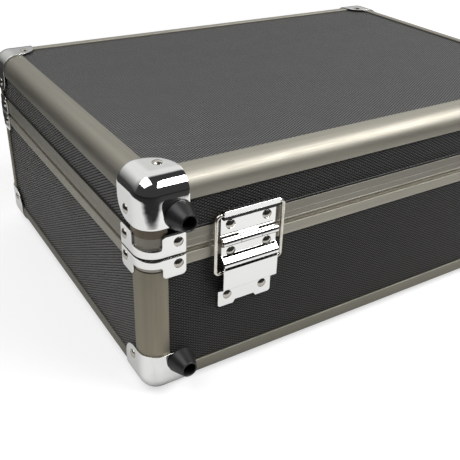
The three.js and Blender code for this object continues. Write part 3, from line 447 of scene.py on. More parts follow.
class Surface(Nodes):
    """A new material, and nodes that feed its shader."""

    def __init__(self, name, color, roughness, metallic=0.0, **sockets):
        self.material = bpy.data.materials.new(name)
        self.material.use_nodes = True
        super().__init__(self.material.node_tree)
        self.shader = self.tree.nodes["Principled BSDF"]
        self.set("Base Color", (*color, 1.0))
        self.set("Roughness", roughness)
        self.set("Metallic", metallic)
        for key, value in sockets.items():
            self.set(key.replace("_", " "), value)

    def set(self, socket, value):
        self.shader.inputs[socket].default_value = value

    def position(self, scale=(1.0, 1.0, 1.0)):
        coordinate = self.node("ShaderNodeTexCoord")
        mapping = self.node("ShaderNodeMapping")
        mapping.inputs["Scale"].default_value = scale
        self.link(coordinate.outputs["Object"], mapping.inputs["Vector"])
        return mapping.outputs["Vector"]

    def noise(self, vector, scale, detail=3.0, roughness=0.5):
        node = self.node("ShaderNodeTexNoise")
        node.inputs["Scale"].default_value = scale
        node.inputs["Detail"].default_value = detail
        node.inputs["Roughness"].default_value = roughness
        self.link(vector, node.inputs["Vector"])
        return node.outputs["Fac"]

    def cells(self, scale):
        node = self.node("ShaderNodeTexVoronoi")
        node.inputs["Scale"].default_value = scale
        self.link(self.position(), node.inputs["Vector"])
        return node.outputs["Distance"]

    def choose(self, pick, yes, no, kind="FLOAT"):
        """One of two numbers, or of two colours if the kind is RGBA."""
        first, result = {"FLOAT": (2, 0), "RGBA": (6, 2)}[kind]
        node = self.node("ShaderNodeMix", data_type=kind)
        for source, index in ((pick, 0), (no, first), (yes, first + 1)):
            self.link(source, node.inputs[index])
        return node.outputs[result]

    def ramp(self, value, stops):
        node = self.node("ShaderNodeValToRGB")
        elements = node.color_ramp.elements
        while len(elements) < len(stops):
            elements.new(0.5)
        for element, (place, color) in zip(elements, stops):
            element.position = place
            element.color = (*color, 1.0)
        self.link(value, node.inputs["Fac"])
        return node.outputs["Color"]

    def bump(self, height, strength, distance, after=None):
        node = self.node("ShaderNodeBump")
        node.inputs["Strength"].default_value = strength
        node.inputs["Distance"].default_value = distance
        self.link(height, node.inputs["Height"])
        if after is not None:
            self.link(after, node.inputs["Normal"])
        self.link(node.outputs["Normal"], self.shader.inputs["Normal"])
        return node.outputs["Normal"]

    def colour(self, output):
        self.link(output, self.shader.inputs["Base Color"])

    def rough(self, output):
        self.link(output, self.shader.inputs["Roughness"])


def anodised_material(name, along, tone=(0.42, 0.40, 0.343)):
    """Satin champagne aluminium with fine extrusion lines along one axis."""
    m = Surface(name, tone, 0.5, 1.0)
    squeeze = {"x": (0.02, 1, 1), "y": (1, 0.02, 1), "z": (1, 1, 0.02)}[along]
    fine = m.noise(m.position(squeeze), 1600.0, 2.0, 0.6)
    broad = m.noise(m.position(squeeze), 240.0, 2.0)
    cloud = m.noise(m.position(), 14.0, 2.0)
    m.colour(m.ramp(broad, [(0.3, scaled(tone, 0.94)), (0.7, scaled(tone, 1.05))]))
    lines = m.spread(fine, 0.3, 0.7, -0.045, 0.055)
    haze = m.spread(cloud, 0.3, 0.7, 0.53, 0.59)
    m.rough(m.math("ADD", lines, haze))
    m.bump(fine, 0.10, 0.00012)
    return m.material


def chrome_material(name, tone=(0.88, 0.88, 0.865), wave=0.12):
    m = Surface(name, tone, 0.05, 1.0)
    ripple = m.noise(m.position(), 70.0, 2.0)
    smear = m.noise(m.position(), 320.0, 3.0)
    m.rough(m.spread(smear, 0.35, 0.75, 0.035, 0.075))
    m.bump(ripple, wave, 0.0008)
    return m.material


def steel_material(name, tone, low, high):
    m = Surface(name, tone, low, 1.0)
    speck = m.noise(m.position(), 900.0, 3.0)
    cloud = m.noise(m.position(), 160.0, 2.0)
    m.colour(m.ramp(cloud, [(0.3, scaled(tone, 0.86)), (0.7, scaled(tone, 1.08))]))
    m.rough(m.spread(speck, 0.3, 0.7, low, high))
    m.bump(speck, 0.08, 0.0001)
    return m.material


def panel_material(name):
    """Charcoal sheet embossed with small diamonds, laid out by the way each face points. The top and
    the ends are painted lighter than the front and back, for the light that falls on them.

    That direction is the world's, so the top, front and back of an open lid show ribs
    and each other's tone.
    """
    diamond_width, diamond_height = 0.00445, 0.0025
    m = Surface(name, grey(0.05), 0.4, 0.0, Specular_IOR_Level=0.18)
    x, y, z = m.axes(m.position())
    facing = m.axes(m.node("ShaderNodeNewGeometry").outputs["True Normal"])
    on_end = m.math("GREATER_THAN", m.math("ABSOLUTE", facing[0]), 0.7)
    on_top = m.math("GREATER_THAN", m.math("ABSOLUTE", facing[2]), 0.7)
    a = m.math("MULTIPLY", m.choose(on_end, y, x), math.pi / diamond_width)
    b = m.math("MULTIPLY", m.choose(on_top, y, z), math.pi / diamond_height)
    first = m.math("ABSOLUTE", m.math("SINE", m.math("ADD", a, b)))
    second = m.math("ABSOLUTE", m.math("SINE", m.math("SUBTRACT", a, b)))
    relief = m.math("MINIMUM", first, second)

    def tint(foot, slope, crest):
        """A colour for each height of the relief, black at the bottom of the grooves as painted
        shade.
        """
        return m.ramp(relief, [(0.0, grey(0.001)), (0.25, grey(foot)), (0.6, slope), (1.0, crest)])

    # Painted light: the top and the ends take lighter tints than the front and back, for the light
    # that falls more on them.
    colour = tint(0.003, (0.063, 0.062, 0.060), (0.081, 0.080, 0.077))
    painted_light_top = tint(0.006, (0.152, 0.152, 0.150), (0.175, 0.175, 0.173))
    pale = tint(0.006, (0.196, 0.194, 0.186), (0.250, 0.247, 0.237))
    for pick, chosen in ((on_end, pale), (on_top, painted_light_top)):
        colour = m.choose(pick, chosen, colour, "RGBA")
    m.colour(colour)
    grooves = m.spread(relief, 0.0, 0.6, 0.42, 0.0)
    haze = m.spread(m.noise(m.position(), 26.0, 3.0), 0.3, 0.7, 0.34, 0.40)
    m.rough(m.math("ADD", haze, grooves))
    m.bump(relief, 1.0, 0.0006)
    return m.material


def rubber_material(name):
    m = Surface(name, (0.018, 0.018, 0.019), 0.38, 0.0, Specular_IOR_Level=0.5)
    grain = m.noise(m.position(), 1500.0, 3.0)
    dust = m.noise(m.position(), 120.0, 4.0)
    m.colour(m.ramp(dust, [(0.35, grey(0.008)), (0.75, grey(0.020))]))
    m.rough(m.spread(grain, 0.3, 0.7, 0.34, 0.48))
    m.bump(grain, 0.15, 0.0002)
    return m.material


def foam_material(name):
    m = Surface(name, (0.035, 0.036, 0.040), 0.95, 0.0, Specular_IOR_Level=0.2)
    cells = m.cells(900.0)
    broad = m.noise(m.position(), 40.0, 4.0)
    m.colour(m.ramp(cells, [(0.05, (0.014, 0.014, 0.016)), (0.6, (0.055, 0.056, 0.061))]))
    first = m.bump(broad, 0.25, 0.0012)
    m.bump(cells, 0.5, 0.0006, first)
    return m.material


def grip_material(name):
    m = Surface(name, (0.022, 0.022, 0.023), 0.5, 0.0, Specular_IOR_Level=0.45)
    cells = m.cells(750.0)
    m.colour(m.ramp(cells, [(0.0, (0.012, 0.012, 0.013)), (0.7, (0.030, 0.030, 0.031))]))
    m.rough(m.spread(m.noise(m.position(), 60.0, 3.0), 0.3, 0.7, 0.42, 0.56))
    m.bump(cells, 0.4, 0.0003)
    return m.material


# Painted light and shade: the one anodised aluminium takes a tone for each part. It is darker on the
# lid's ends, the base edges, the posts and the lid rim, and lighter on the base rim, than on the
# lid's long edges, for how the light falls on each.
LIT_AND_SHADED_EDGE = {"lid": {"x": anodised_material("anodised_x", "x"),
                "y": anodised_material("anodised_y", "y", (0.35, 0.333, 0.285))},
        "base": {"x": anodised_material("anodised_base_x", "x", (0.27, 0.258, 0.213)),
                 "y": anodised_material("anodised_base_y", "y", (0.245, 0.235, 0.200))}}
LIT_AND_SHADED_POST = {"base": anodised_material("anodised_post", "z", (0.335, 0.305, 0.237)),
        "lid": anodised_material("anodised_post_lid", "z", (0.230, 0.198, 0.153))}
SHADED_RIM_LID = anodised_material("anodised_rim_lid", "x", (0.36, 0.342, 0.295))
LIT_RIM_BASE = anodised_material("anodised_rim_base", "x", (0.46, 0.437, 0.377))
CHROME = chrome_material("chrome")
CHROME_FLAT = chrome_material("chrome_plate", (0.90, 0.90, 0.885), 0.05)
RIVET = steel_material("rivet_steel", (0.56, 0.53, 0.48), 0.10, 0.2)
WIRE = steel_material("nickel_wire", (0.78, 0.74, 0.66), 0.16, 0.28)
PANEL = panel_material("embossed_panel")
RUBBER = rubber_material("rubber")
FOAM = foam_material("foam")
GRIP = grip_material("grip")


# Edge profiles and posts, in corner coordinates
def angle_outline(steps=14):
    lip = 0.45
    return (arc(LEG - lip, lip, lip, 0, -90, 3)
            + arc(EDGE_R, EDGE_R, EDGE_R, 270, 180, steps)
            + arc(lip, LEG - lip, lip, 180, 90, 3)
            + [(WALL, LEG)]
            + arc(EDGE_R, EDGE_R, EDGE_R - WALL, 180, 270, steps)
            + [(LEG, WALL)])


SECTION = angle_outline()


def profile(node, end, axis, place, material, half):
    part(f"profile_{node}", prism(SECTION, SETBACK, end, axis), place, material, half, node,
         30)


for half, is_lid in HALVES:
    for face_name, face in FACES:
        profile(f"{half}_edge_{face_name}", LENGTH - SETBACK, "x", corner_place(1, face, is_lid),
                LIT_AND_SHADED_EDGE[half]["x"], half)
    for side_name, side in SIDES:
        profile(f"{half}_edge_{side_name}", DEPTH - SETBACK, "y", corner_place(side, 1, is_lid),
                LIT_AND_SHADED_EDGE[half]["y"], half)
for face_name, face in FACES:
    for side_name, side in SIDES:
        profile(f"base_post_{face_name}_{side_name}", POST_TOP, "z",
                corner_place(side, face, False), LIT_AND_SHADED_POST["base"], "base")

# Rim profiles, as inset from the case's sides and height
BASE_RIM = [
    (1.1, 116.8), (0.45, 117.3), (0.3, 118.0), (0.3, 119.9), (0.0, 120.1), (0.0, 126.85),
    (0.12, 126.98), (2.6, 127.0), (2.6, 128.7), (2.75, 128.85), (4.2, 128.85),
    (4.2, 130.75), (4.4, 131.05), (5.4, 131.05), (5.6, 130.75), (5.6, 128.85), (7.3, 128.85),
    (7.6, 128.55), (7.6, 116.8), (6.1, 116.8), (6.1, 122.1), (1.5, 122.1), (1.5, 116.8),
]
LID_RIM = [
    (2.6, 129.3), (2.6, 131.0), (0.15, 131.0), (0.0, 131.15), (0.0, 132.3), (0.22, 132.45),
    (0.26, 136.9), (0.0, 137.15), (0.0, 137.9), (0.1, 138.05), (0.1, 138.3), (0.0, 138.4),
    (0.0, 145.7), (0.12, 145.88), (1.5, 145.0), (1.5, 136.9), (6.1, 136.9), (6.1, 145.9),
    (7.6, 145.9), (7.6, 129.4), (7.35, 129.15), (6.2, 129.15), (6.2, 131.8), (3.6, 131.8),
    (3.6, 129.15), (2.75, 129.15),
]
# Painted shade: a black rubber strip along the foot of the lid's panels, just above the lid rim,
# stands for the shadow there.
LID_SHADOW_STRIP = [(1.3, 145.5), (1.3, 147.0), (1.5, 147.2), (1.75, 147.2), (1.75, 145.5)]
build("rim_base", ring_sweep(BASE_RIM), LIT_RIM_BASE, "base", "base_rim", 25)
lid_posts = [moved(prism(SECTION, SETBACK, HEIGHT - LID_RIM_TOP, "z"), corner_place(side, face, True))
             for _, side in SIDES for _, face in FACES]
build("rim_lid", ring_sweep(LID_RIM), SHADED_RIM_LID, "lid", "lid_rim", 25)
# The black strip above the lid rim is painted shade.
build("shadow_strip_lid_rim", ring_sweep(LID_SHADOW_STRIP), RUBBER, "lid", smooth=25)
build("profile_lid_posts", joined(*lid_posts), LIT_AND_SHADED_POST["lid"], "lid", smooth=30)


# Rivet heads
def rivet_head(radius=RIVET_R, head=RIVET_HEAD, sides=28, steps=6):
    """A flat rim with a shallow dome on it, pointing along y."""
    profile = [(0.0, -0.5), (radius, -0.5), (radius, RIVET_RIM)]
    rise = head - RIVET_RIM
    ball = (radius * radius + rise ** 2) / (2 * rise)
    top = math.asin(radius / ball)
    for i in range(1, steps + 1):
        angle = top * (1 - i / steps)
        across = ball * math.sin(angle) if i < steps else 0.0
        profile.append((across, head - ball + ball * math.cos(angle)))
    return turned(profile, sides)


HEAD = rivet_head()
SMALL_HEAD = rivet_head(3.0, 1.3, 24)
ON_END = Matrix.Rotation(math.pi / 2, 4, "Z")
ON_WALL = Matrix.Rotation(math.pi, 4, "X")
ON_TOP = Matrix.Rotation(-math.pi / 2, 4, "X")


def heads_at(spots, proud, head=HEAD):
    """Rivet heads on a wall, at places of x and height."""
    return joined(*[shifted(head, x, proud, z) for x, z in spots])


def rivets(name, heads, place, half):
    part(f"rivets_{name}", heads, place, RIVET, half, smooth=50)


def corner_head(proud, turn, spot):
    """A rivet head turned to face out of one of the corner's faces."""
    return moved(shifted(HEAD, 0, proud, 0), Matrix.Translation(spot) @ turn)


def each_corner():
    """The case's eight corners, in the order of their nodes."""
    for half, is_lid in HALVES:
        for face_name, face in FACES:
            for side_name, side in SIDES:
                yield half, is_lid, face, side, f"{face_name}_{side_name}"


# Corner caps: a rounded corner whose three faces end in rounded lobes
def cap_surface(cells=26):
    """Outer surface of a cap in corner coordinates."""
    low, high = -CAP_PROUD, CAP_ARM
    radius = EDGE_R + CAP_PROUD

    def spaced(i):
        return low + (high - low) * (i / cells)

    def rounded(s, t, lobe):
        """Rounds the face's far corner to the lobe's arc."""
        knee = high - lobe
        if s > knee and t > knee:
            u, v = (s - knee) / lobe, (t - knee) / lobe
            return (knee + lobe * u * math.sqrt(1 - v * v / 2),
                    knee + lobe * v * math.sqrt(1 - u * u / 2))
        return s, t

    def on_corner(p):
        """Moves a point of the square corner onto the rounded one."""
        core = Vector(max(c, EDGE_R) for c in p)
        out = Vector(p) - core
        if out.length < 1e-9:
            return Vector(p)
        return core + out.normalized() * radius

    points, faces = [], []
    for axis in range(3):
        start = len(points)
        lobe = CAP_LOBE_TOP if axis == 2 else CAP_LOBE
        for i in range(cells + 1):
            for j in range(cells + 1):
                s, t = rounded(spaced(i), spaced(j), lobe)
                p = [low, low, low]
                p[(axis + 1) % 3], p[(axis + 2) % 3] = s, t
                points.append(tuple(on_corner(p)))
        faces += grid_faces(start, cells, cells)
    return points, faces


def cap_rivets(on_wall, on_top):
    """The end always has a rivet; a foot takes its place on the back wall."""
    heads = [corner_head(CAP_PROUD, ON_END, (0, 24.2, 28.5))]
    if on_wall:
        heads.append(corner_head(CAP_PROUD, ON_WALL, (27, 0, 27)))
    if on_top:
        heads.append(corner_head(CAP_PROUD, ON_TOP, (25.6, 25.6, 0)))
    return joined(*heads)


CAP = taken(thickened(build("cap_pattern", cap_surface(), CHROME, None, smooth=60),
                      1.0, -1.0, 0.28, 50))
for half, is_lid, face, side, corner in each_corner():
    node = f"{half}_corner_{corner}"
    place = corner_place(side, face, is_lid)
    part(f"cap_{node}", CAP, place, CHROME, half, node, smooth=50)
    rivets(node, cap_rivets(face < 0, is_lid), place, half)


# Rim brackets: a strip wrapped round the corner with an ear on each side
def bracket_shape(height, rivet_rise):
    outer = FIT + BRACKET_SHEET
    bend = EDGE_R + outer
    arc_length = math.pi / 2 * EDGE_R
    straight = BRACKET_ARM - EDGE_R
    total = straight + arc_length + straight
    ear = BRACKET_ARM - 15.0
    low, strip = 0.8, 8.1
    ear_r, inner_r = 3.5, 2.2

    def wrap(s, z):
        """Bends the flat strip round the corner."""
        if s < straight:
            return (-outer, BRACKET_ARM - s, z)
        if s > straight + arc_length:
            return (EDGE_R + (s - straight - arc_length), -outer, z)
        angle = math.pi + (s - straight) / arc_length * math.pi / 2
        return (EDGE_R + bend * math.cos(angle), EDGE_R + bend * math.sin(angle), z)

    outline = filleted([
        (0, low), (total, low), (total, height), (total - ear, height), (total - ear, strip),
        (ear, strip), (ear, height), (0, height),
    ], [1.0, 1.0, ear_r, ear_r, inner_r, inner_r, ear_r, ear_r], 6)
    columns = [straight + arc_length * i / 18 for i in range(19)]
    sheet = filled_sheet(crossed(outline, columns), 2.4, wrap, columns)
    piece = build("bracket_pattern", sheet, CHROME_FLAT, None, smooth=50)
    flipped = piece.data.polygons[0].normal.dot(Vector((1, 1, 0))) > 0
    shape = taken(thickened(piece, BRACKET_SHEET, 1.0 if flipped else -1.0, 0.3, 50))
    heads = joined(corner_head(outer, ON_END, (0, 28, rivet_rise)),
                   corner_head(outer, ON_WALL, (28, 0, rivet_rise)))
    return shape, heads


BRACKETS = {"lid": bracket_shape(19.0, 11.0), "base": bracket_shape(18.0, 7.5)}
for half, is_lid, face, side, corner in each_corner():
    sheet, heads = BRACKETS[half]
    node = f"{half}_rim_bracket_{corner}"
    place = matrix_of((-side, 0, 0), (0, -face, 0), (0, 0, 1 if is_lid else -1),
                      (side * HALF_X, face * HALF_Y, PARTING))
    part(f"bracket_{node}", sheet, place, CHROME_FLAT, half, node, smooth=50)
    rivets(node, heads, place, half)


# Rubber feet: hollow truncated cones with a rounded flange
def foot_shape():
    seat = CAP_PROUD + FIT
    tip = seat + 14.7
    shoulder, shoulder_r, neck_r = seat + 1.9, 11.4, 7.05
    profile = [(0.0, seat), (11.2, seat), (11.7, seat + 0.5), (11.7, seat + 1.2),
               (shoulder_r, shoulder)]
    profile += [(shoulder_r + (neck_r - shoulder_r) * t, shoulder + (tip - 0.9 - shoulder) * t)
                for t in (0.33, 0.66, 1.0)]
    profile += [(6.95, tip - 0.4), (6.7, tip - 0.1), (6.35, tip), (5.75, tip), (5.5, tip - 0.3),
                (5.2, tip - 10.5), (4.6, tip - 11.0), (0.0, tip - 11.0)]
    return turned(profile, 48)


for half, is_lid in HALVES:
    for side_name, side in SIDES:
        node = f"foot_{half}_{side_name}"
        rise = HEIGHT - FOOT_INSET if is_lid else FOOT_INSET
        place = wall_place(1, side * (HALF_X - FOOT_INSET)) @ Matrix.Translation((0, 0, rise))
        part(f"rubber_{node}", foot_shape(), place, RUBBER, half, node, 35)

# Panels keep their CAD shape
for node in ("base_bottom_panel", "base_side_panels", "lid_top_panel", "lid_side_panels"):
    nodes[node].data.materials.clear()
    nodes[node].data.materials.append(PANEL)


# Hinges, in wall coordinates of the back: outlines are distance proud and height
PIN_Y, WIRE_Y, WIRE_TOP = 3.8, 3.4, 153.0
KNUCKLE_HALF, KNUCKLE_GAP = 9.35, 0.3

ROLL = filleted([
    (0.3, 133.3), (0.3, 157.0), (6.6, 157.0), (6.6, 152.4), (5.4, 152.4), (5.4, 155.8),
    (1.5, 155.8), (1.5, 133.3),
], [0, 3.4, 0.35, 0.4, 0.3, 0.4, 2.2, 0], 8)

BASE_LEAF = filleted([
    (0.3, 126.5), (0.3, 112.9), (6.0, 112.4), (6.2, 88.4), (-1.5, 82.6), (-1.5, 66.7),
    (0.0, 66.7), (0.0, 81.7), (7.8, 87.4), (7.8, 105.4), (8.0, 105.8), (8.0, 108.8),
    (9.0, 108.9), (9.0, 112.2), (3.2, 117.1), (3.2, 124.9), (1.8, 125.1), (1.8, 126.5),
], [0, 0.8, 1.2, 1.2, 1.0, 0, 0, 0.6, 0.9, 0.2, 0, 0, 0.6, 3.2, 0.2, 0.2, 0, 0], 8)


def hinge_heads(proud, height):
    return heads_at([(-16.5, height), (16.5, height)], proud)


def knuckle_outline(from_top, reach):
    """A sheet that wraps the hinge pin, coming from above or from below."""
    radius, wall, sweep = 3.5, 1.5, 315
    sign = 1 if from_top else -1
    turn = 180 + sign * sweep
    outer = arc(PIN_Y, 0.0, radius, 180, turn, 26)
    inner = arc(PIN_Y, 0.0, radius - wall - 0.1, turn, 180, 26)
    points = [(0.3, sign * reach)] + outer + inner + [(1.8, sign * reach)]
    return [(y, PARTING + z) for y, z in points]


def curl_shadow_outline():
    """A dark rubber strip between the curl and the wire's crossbar: painted shade, standing for the
    shadow under the curl.
    """
    radius = 1.85
    angles = (math.radians(20 - 10 * i) for i in range(19))
    over = [(WIRE_Y + radius * math.cos(a), WIRE_TOP + radius * math.sin(a)) for a in angles]
    return over + [(1.6, 149.3), (2.1, 148.8), (4.9, 148.8), (5.35, 149.3), (5.35, 153.6)]


def lid_leaf(name, place):
    part(f"leaf_lid_{name}", prism(ROLL, -HINGE_HALF, HINGE_HALF, "x"), place, CHROME_FLAT, "lid",
         f"hinge_lid_leaf_{name}", bevel=(0.25, 2))
    # Painted shade: a dark strip under the curl.
    part(f"curl_shadow_{name}", prism(curl_shadow_outline(), -24.7, 24.7, "x"), place, RUBBER, "lid")
    part(f"knuckle_lid_{name}", prism(knuckle_outline(True, 5.4), -KNUCKLE_HALF, KNUCKLE_HALF, "x"),
         place, CHROME, "lid", bevel=(0.22, 2))
    rivets(f"hinge_lid_{name}", hinge_heads(1.8, 142.4), place, "lid")


def flange_cuts():
    """The notch between the flange's rivets, and its two rounded outer corners."""
    low, foot, radius = 60.0, 66.7, 2.4
    cuts = [[(low, -10.8), (foot, -10.8), (69.5, -9.0), (69.5, 9.0), (foot, 10.8), (low, 10.8)]]
    for side in (-1, 1):
        corner = [(low, side * 30.0), (low, side * 22.6), (foot, side * 22.6)]
        corner += [(69.1 - radius * math.cos(a), side * (22.6 + radius * math.sin(a)))
                   for a in (0.3, 0.6, 0.9, 1.2, math.pi / 2)]
        cuts.append(corner + [(69.1, side * 30.0)])
    return [prism(cut, -6.0, 6.0, "y") for cut in cuts]


def base_leaf(name, place):
    slots = [block(-24.1, 24.1, 5.2, 9.6, 105.8, 108.8), block(-24.4, 24.4, 3.3, 4.9, 110.0, 118.2)]
    part(f"leaf_base_{name}", prism(BASE_LEAF, -HINGE_HALF, HINGE_HALF, "x"), place, CHROME_FLAT,
         "base", f"hinge_base_leaf_{name}", cuts=flange_cuts() + slots, bevel=(0.22, 2))
    inner = KNUCKLE_HALF + KNUCKLE_GAP
    knuckles = [prism(knuckle_outline(False, 3.5), low, high, "x")
                for low, high in ((-HINGE_HALF, -inner), (inner, HINGE_HALF))]
    part(f"knuckle_base_{name}", joined(*knuckles), place, CHROME, "base", bevel=(0.22, 2))
    heads = joined(hinge_heads(3.2, 119.6), hinge_heads(0.0, 76.8))
    rivets(f"hinge_base_{name}", heads, place, "base")


def pin_shape():
    """A pin along x with a rounded head at each end."""
    profile = [(0.0, -26.0), (2.1, -26.0), (2.5, -25.8), (2.6, -25.5), (2.5, -25.3), (1.6, -25.3)]
    return turned(profile + [(r, -h) for r, h in reversed(profile)], 24, "x")


def wire_path():
    """The stay wire: a crossbar, two legs, and feet that turn in towards the pocket plate."""
    bottom, leg, end = 102.0, 30.2, 25.4
    corners = [(-end, bottom), (-leg, bottom), (-leg, WIRE_TOP), (leg, WIRE_TOP),
                       (leg, bottom), (end, bottom)]
    path = [corners[0]]
    for i, radius in enumerate([3.0, 4.0, 4.0, 3.0], start=1):
        last, here, following = (Vector(p) for p in corners[i - 1:i + 2])
        before = (last - here).normalized()
        after = (following - here).normalized()
        centre = here + (before + after) * radius
        for step in range(11):
            angle = step / 10 * math.pi / 2
            spoke = after * -math.cos(angle) + before * -math.sin(angle)
            path.append(tuple(centre + spoke * radius))
    path.append(corners[-1])
    return [(x, WIRE_Y, z) for x, z in path]


for side_name, side in SIDES:
    place = wall_place(1, side * HINGE_X)
    lid_leaf(side_name, place)
    base_leaf(side_name, place)
    part(f"pin_{side_name}", shifted(pin_shape(), 0, PIN_Y, PARTING), place, RIVET, "base",
         f"hinge_pin_{side_name}")
    part(f"wire_{side_name}", tube(wire_path(), 1.6, 20), place, WIRE, f"stay_{side_name}",
         f"stay_wire_{side_name}", 50)


# Latches, in wall coordinates of the front
HASP_Y, HASP_Z, HASP_R = 3.5, 147.0, 3.2
HASP_HALF, HASP_GAP, PLATE_HALF = 13.0, 0.3, 23.0
HASP_BACK, HASP_FRONT = 2.3, 3.8
LOCK_LOW, LOCK_HIGH, LOCK_FACE = 82.0, 116.0, 6.5


def hasp_bar(radius, low, high, sides=32):
    """A round bar on the hasp's pivot line."""
    return prism(circle(HASP_Y, HASP_Z, radius, sides), low, high, "x")


def latch_plate(name, place):
    gap = HASP_HALF + HASP_GAP
    plate = prism(rounded_rect(134.0, HASP_Z, -PLATE_HALF, PLATE_HALF, 1.2), 0.3, 1.8, "y")
    part(f"latch_plate_{name}", plate, place, CHROME_FLAT, "lid", f"latch_lid_plate_{name}",
         cuts=[block(-gap, gap, -4, 8, 143.5, 152)], bevel=(0.25, 2))
    barrels = [hasp_bar(HASP_R, -PLATE_HALF, -gap), hasp_bar(HASP_R, gap, PLATE_HALF),
               hasp_bar(1.5, -23.6, 23.6, 24)]
    part(f"latch_barrel_{name}", joined(*barrels), place, CHROME, "lid", bevel=(0.3, 2))
    heads = heads_at([(-18.5, 139.0), (18.5, 139.0)], 1.8, SMALL_HEAD)
    rivets(f"latch_plate_{name}", heads, place, "lid")


def hasp(name, place):
    body = f"hasp_{name}"
    plate = filleted([(100.0, -HASP_HALF), (100.0, HASP_HALF), (HASP_Z, HASP_HALF),
                      (HASP_Z, -HASP_HALF)], [9.0, 9.0, 0, 0], 8)
    part(f"hasp_{name}", prism(plate, HASP_BACK, HASP_FRONT, "y"), place, CHROME_FLAT, body,
         f"latch_hasp_{name}", cuts=[hasp_bar(3.0, -14, 14)], bevel=(0.3, 2))
    part(f"hasp_barrel_{name}", hasp_bar(HASP_R, -HASP_HALF, HASP_HALF), place, CHROME, body,
         cuts=[hasp_bar(1.8, -20, 20, 24)], bevel=(0.25, 2))
    boss = [(0.0, -0.2), (6.4, -0.2), (6.3, 0.35), (5.7, 0.9), (4.9, 1.2), (3.6, 1.2),
            (3.1, 0.75), (0.0, 0.6)]
    boss = turned([(r, HASP_FRONT + h) for r, h in boss], 40)
    part(f"hasp_boss_{name}", shifted(boss, 0, 0, 119.0), place, CHROME, body, smooth=30)
    part(f"hasp_tongue_{name}", block(-3.5, 3.5, -0.1, 2.6, 105.0, 109.0), place, CHROME_FLAT,
         body, bevel=(0.3, 2))


def lock_body(name, place):
    flange = rounded_rect(LOCK_LOW, LOCK_HIGH, -28, 28, 5.0)
    part(f"lock_{name}", prism(flange, PANEL_FACE, -0.3, "y"), place, CHROME_FLAT, "base",
         f"latch_lock_body_{name}", bevel=(0.25, 2))
    housing = rounded_rect(LOCK_LOW, LOCK_HIGH, -18, 18, 4.0)
    part(f"lock_box_{name}", prism(housing, PANEL_FACE, LOCK_FACE, "y"), place, CHROME, "base",
         cuts=[block(-14, 14, 2.0, 12, 98.8, 124), block(-4, 4, -0.7, 12, 103.8, 124),
               block(-2.3, 6.3, 4.2, 12, 86.5, 89.5)], bevel=(0.45, 3))
    heads = heads_at([(x, z) for x in (-23, 23) for z in (89.0, 109.0)], -0.3, SMALL_HEAD)
    rivets(f"lock_{name}", heads, place, "base")


def release_slide(name, place):
    body = f"release_{name}"
    knob = prism(rounded_rect(85.0, 91.0, -6, 6, 1.5), LOCK_FACE + FIT, 9.2, "y")
    grooves = [block(x - 0.35, x + 0.35, 8.7, 12, 84.0, 92.0) for x in (-3.2, -1.6, 0.0, 1.6, 3.2)]
    part(f"release_{name}", knob, place, CHROME, body, f"latch_release_slide_{name}",
         cuts=grooves, bevel=(0.2, 2))
    part(f"release_stem_{name}", block(-2, 2, 4.5, 7.0, 86.8, 89.2), place, RIVET, body,
         bevel=(0.2, 2))


for side_name, side in SIDES:
    place = wall_place(-1, side * LATCH_X, side)
    for make in (latch_plate, hasp, lock_body, release_slide):
        make(side_name, place)

# Carrying handle, in wall coordinates of the front
PIVOT_Y, PIVOT_Z, GRIP_Z, ARM_R = 12.5, 88.0, 48.0, 7.0
for side_name, side in SIDES:
    place = wall_place(-1, side * HANDLE_X)
    plate = prism(rounded_rect(62.0, 114.0, -12, 12, 5.0, 8), PANEL_FACE, 0.5, "y")
    part(f"handle_plate_{side_name}", plate, place, CHROME_FLAT, "base",
         f"handle_bracket_{side_name}", bevel=(0.45, 3))
    boss = [(0.3, 80.6), (0.3, 95.4)] + arc(PIVOT_Y, PIVOT_Z, ARM_R, 90, -90, 24)
    bore = prism(circle(PIVOT_Y, PIVOT_Z, 3.4, 28), -10, 10, "x")
    part(f"handle_boss_{side_name}", prism(boss, -6, 6, "x"), place, CHROME, "base",
         cuts=[bore], bevel=(0.5, 3))
    rivets(f"handle_{side_name}", heads_at([(0, 70.0), (0, 106.0)], 0.5), place, "base")


def grip_profile(steps=44):
    """Radius along the grip, with shallow finger waves."""
    half, middle, waves = 64.6, 32.5, 54.0 / 5
    ends = [(7.5, half), (6.9, half + 0.6), (0.0, half + 0.6)]
    profile = [(r, -x) for r, x in reversed(ends)]
    for i in range(1, steps):
        x = -half + 2 * half * i / steps
        taper = 2.0 * max(0.0, (abs(x) - middle) / middle)
        profile.append((9.5 - taper - 0.25 * (1 + math.cos(x / waves * math.pi)), x))
    return profile + ends


grip_place = wall_place(-1, 0)
part("grip", shifted(turned(grip_profile(), 40, "x"), 0, PIVOT_Y, GRIP_Z), grip_place, GRIP,
     "handle", "handle_grip")
arm_outline = (arc(PIVOT_Y, PIVOT_Z, ARM_R, 0, 180, 20) + arc(PIVOT_Y, GRIP_Z, ARM_R, 180, 360, 20))
arms = [prism(arm_outline, low, high, "x") for low, high in ((-70.0, -65.0), (65.0, 70.0))]
part("handle_arms", joined(*arms), grip_place, GRIP, "handle", bevel=(0.8, 3))
pin = [(0.0, 69.0), (3.0, 69.0), (3.0, 82.0), (2.7, 82.3), (0.0, 82.3)]
pins = [turned([(r, side * h) for r, h in pin], 28, "x") for side in (-1, 1)]
part("handle_pins", shifted(joined(*pins), 0, PIVOT_Y, PIVOT_Z), grip_place, RIVET, "handle")


# Foam linings: a trough with a rounded rim, and waves on its floor or ceiling
FOAM_INSET, FOAM_WALL = 7.9, 8.0
FOAM_OUTER_R, FOAM_INNER_R = 6.7, 3.0
FOAM_CELL, WAVE_PITCH, WAVE_EDGE = 3.4, 24.0, 6.0


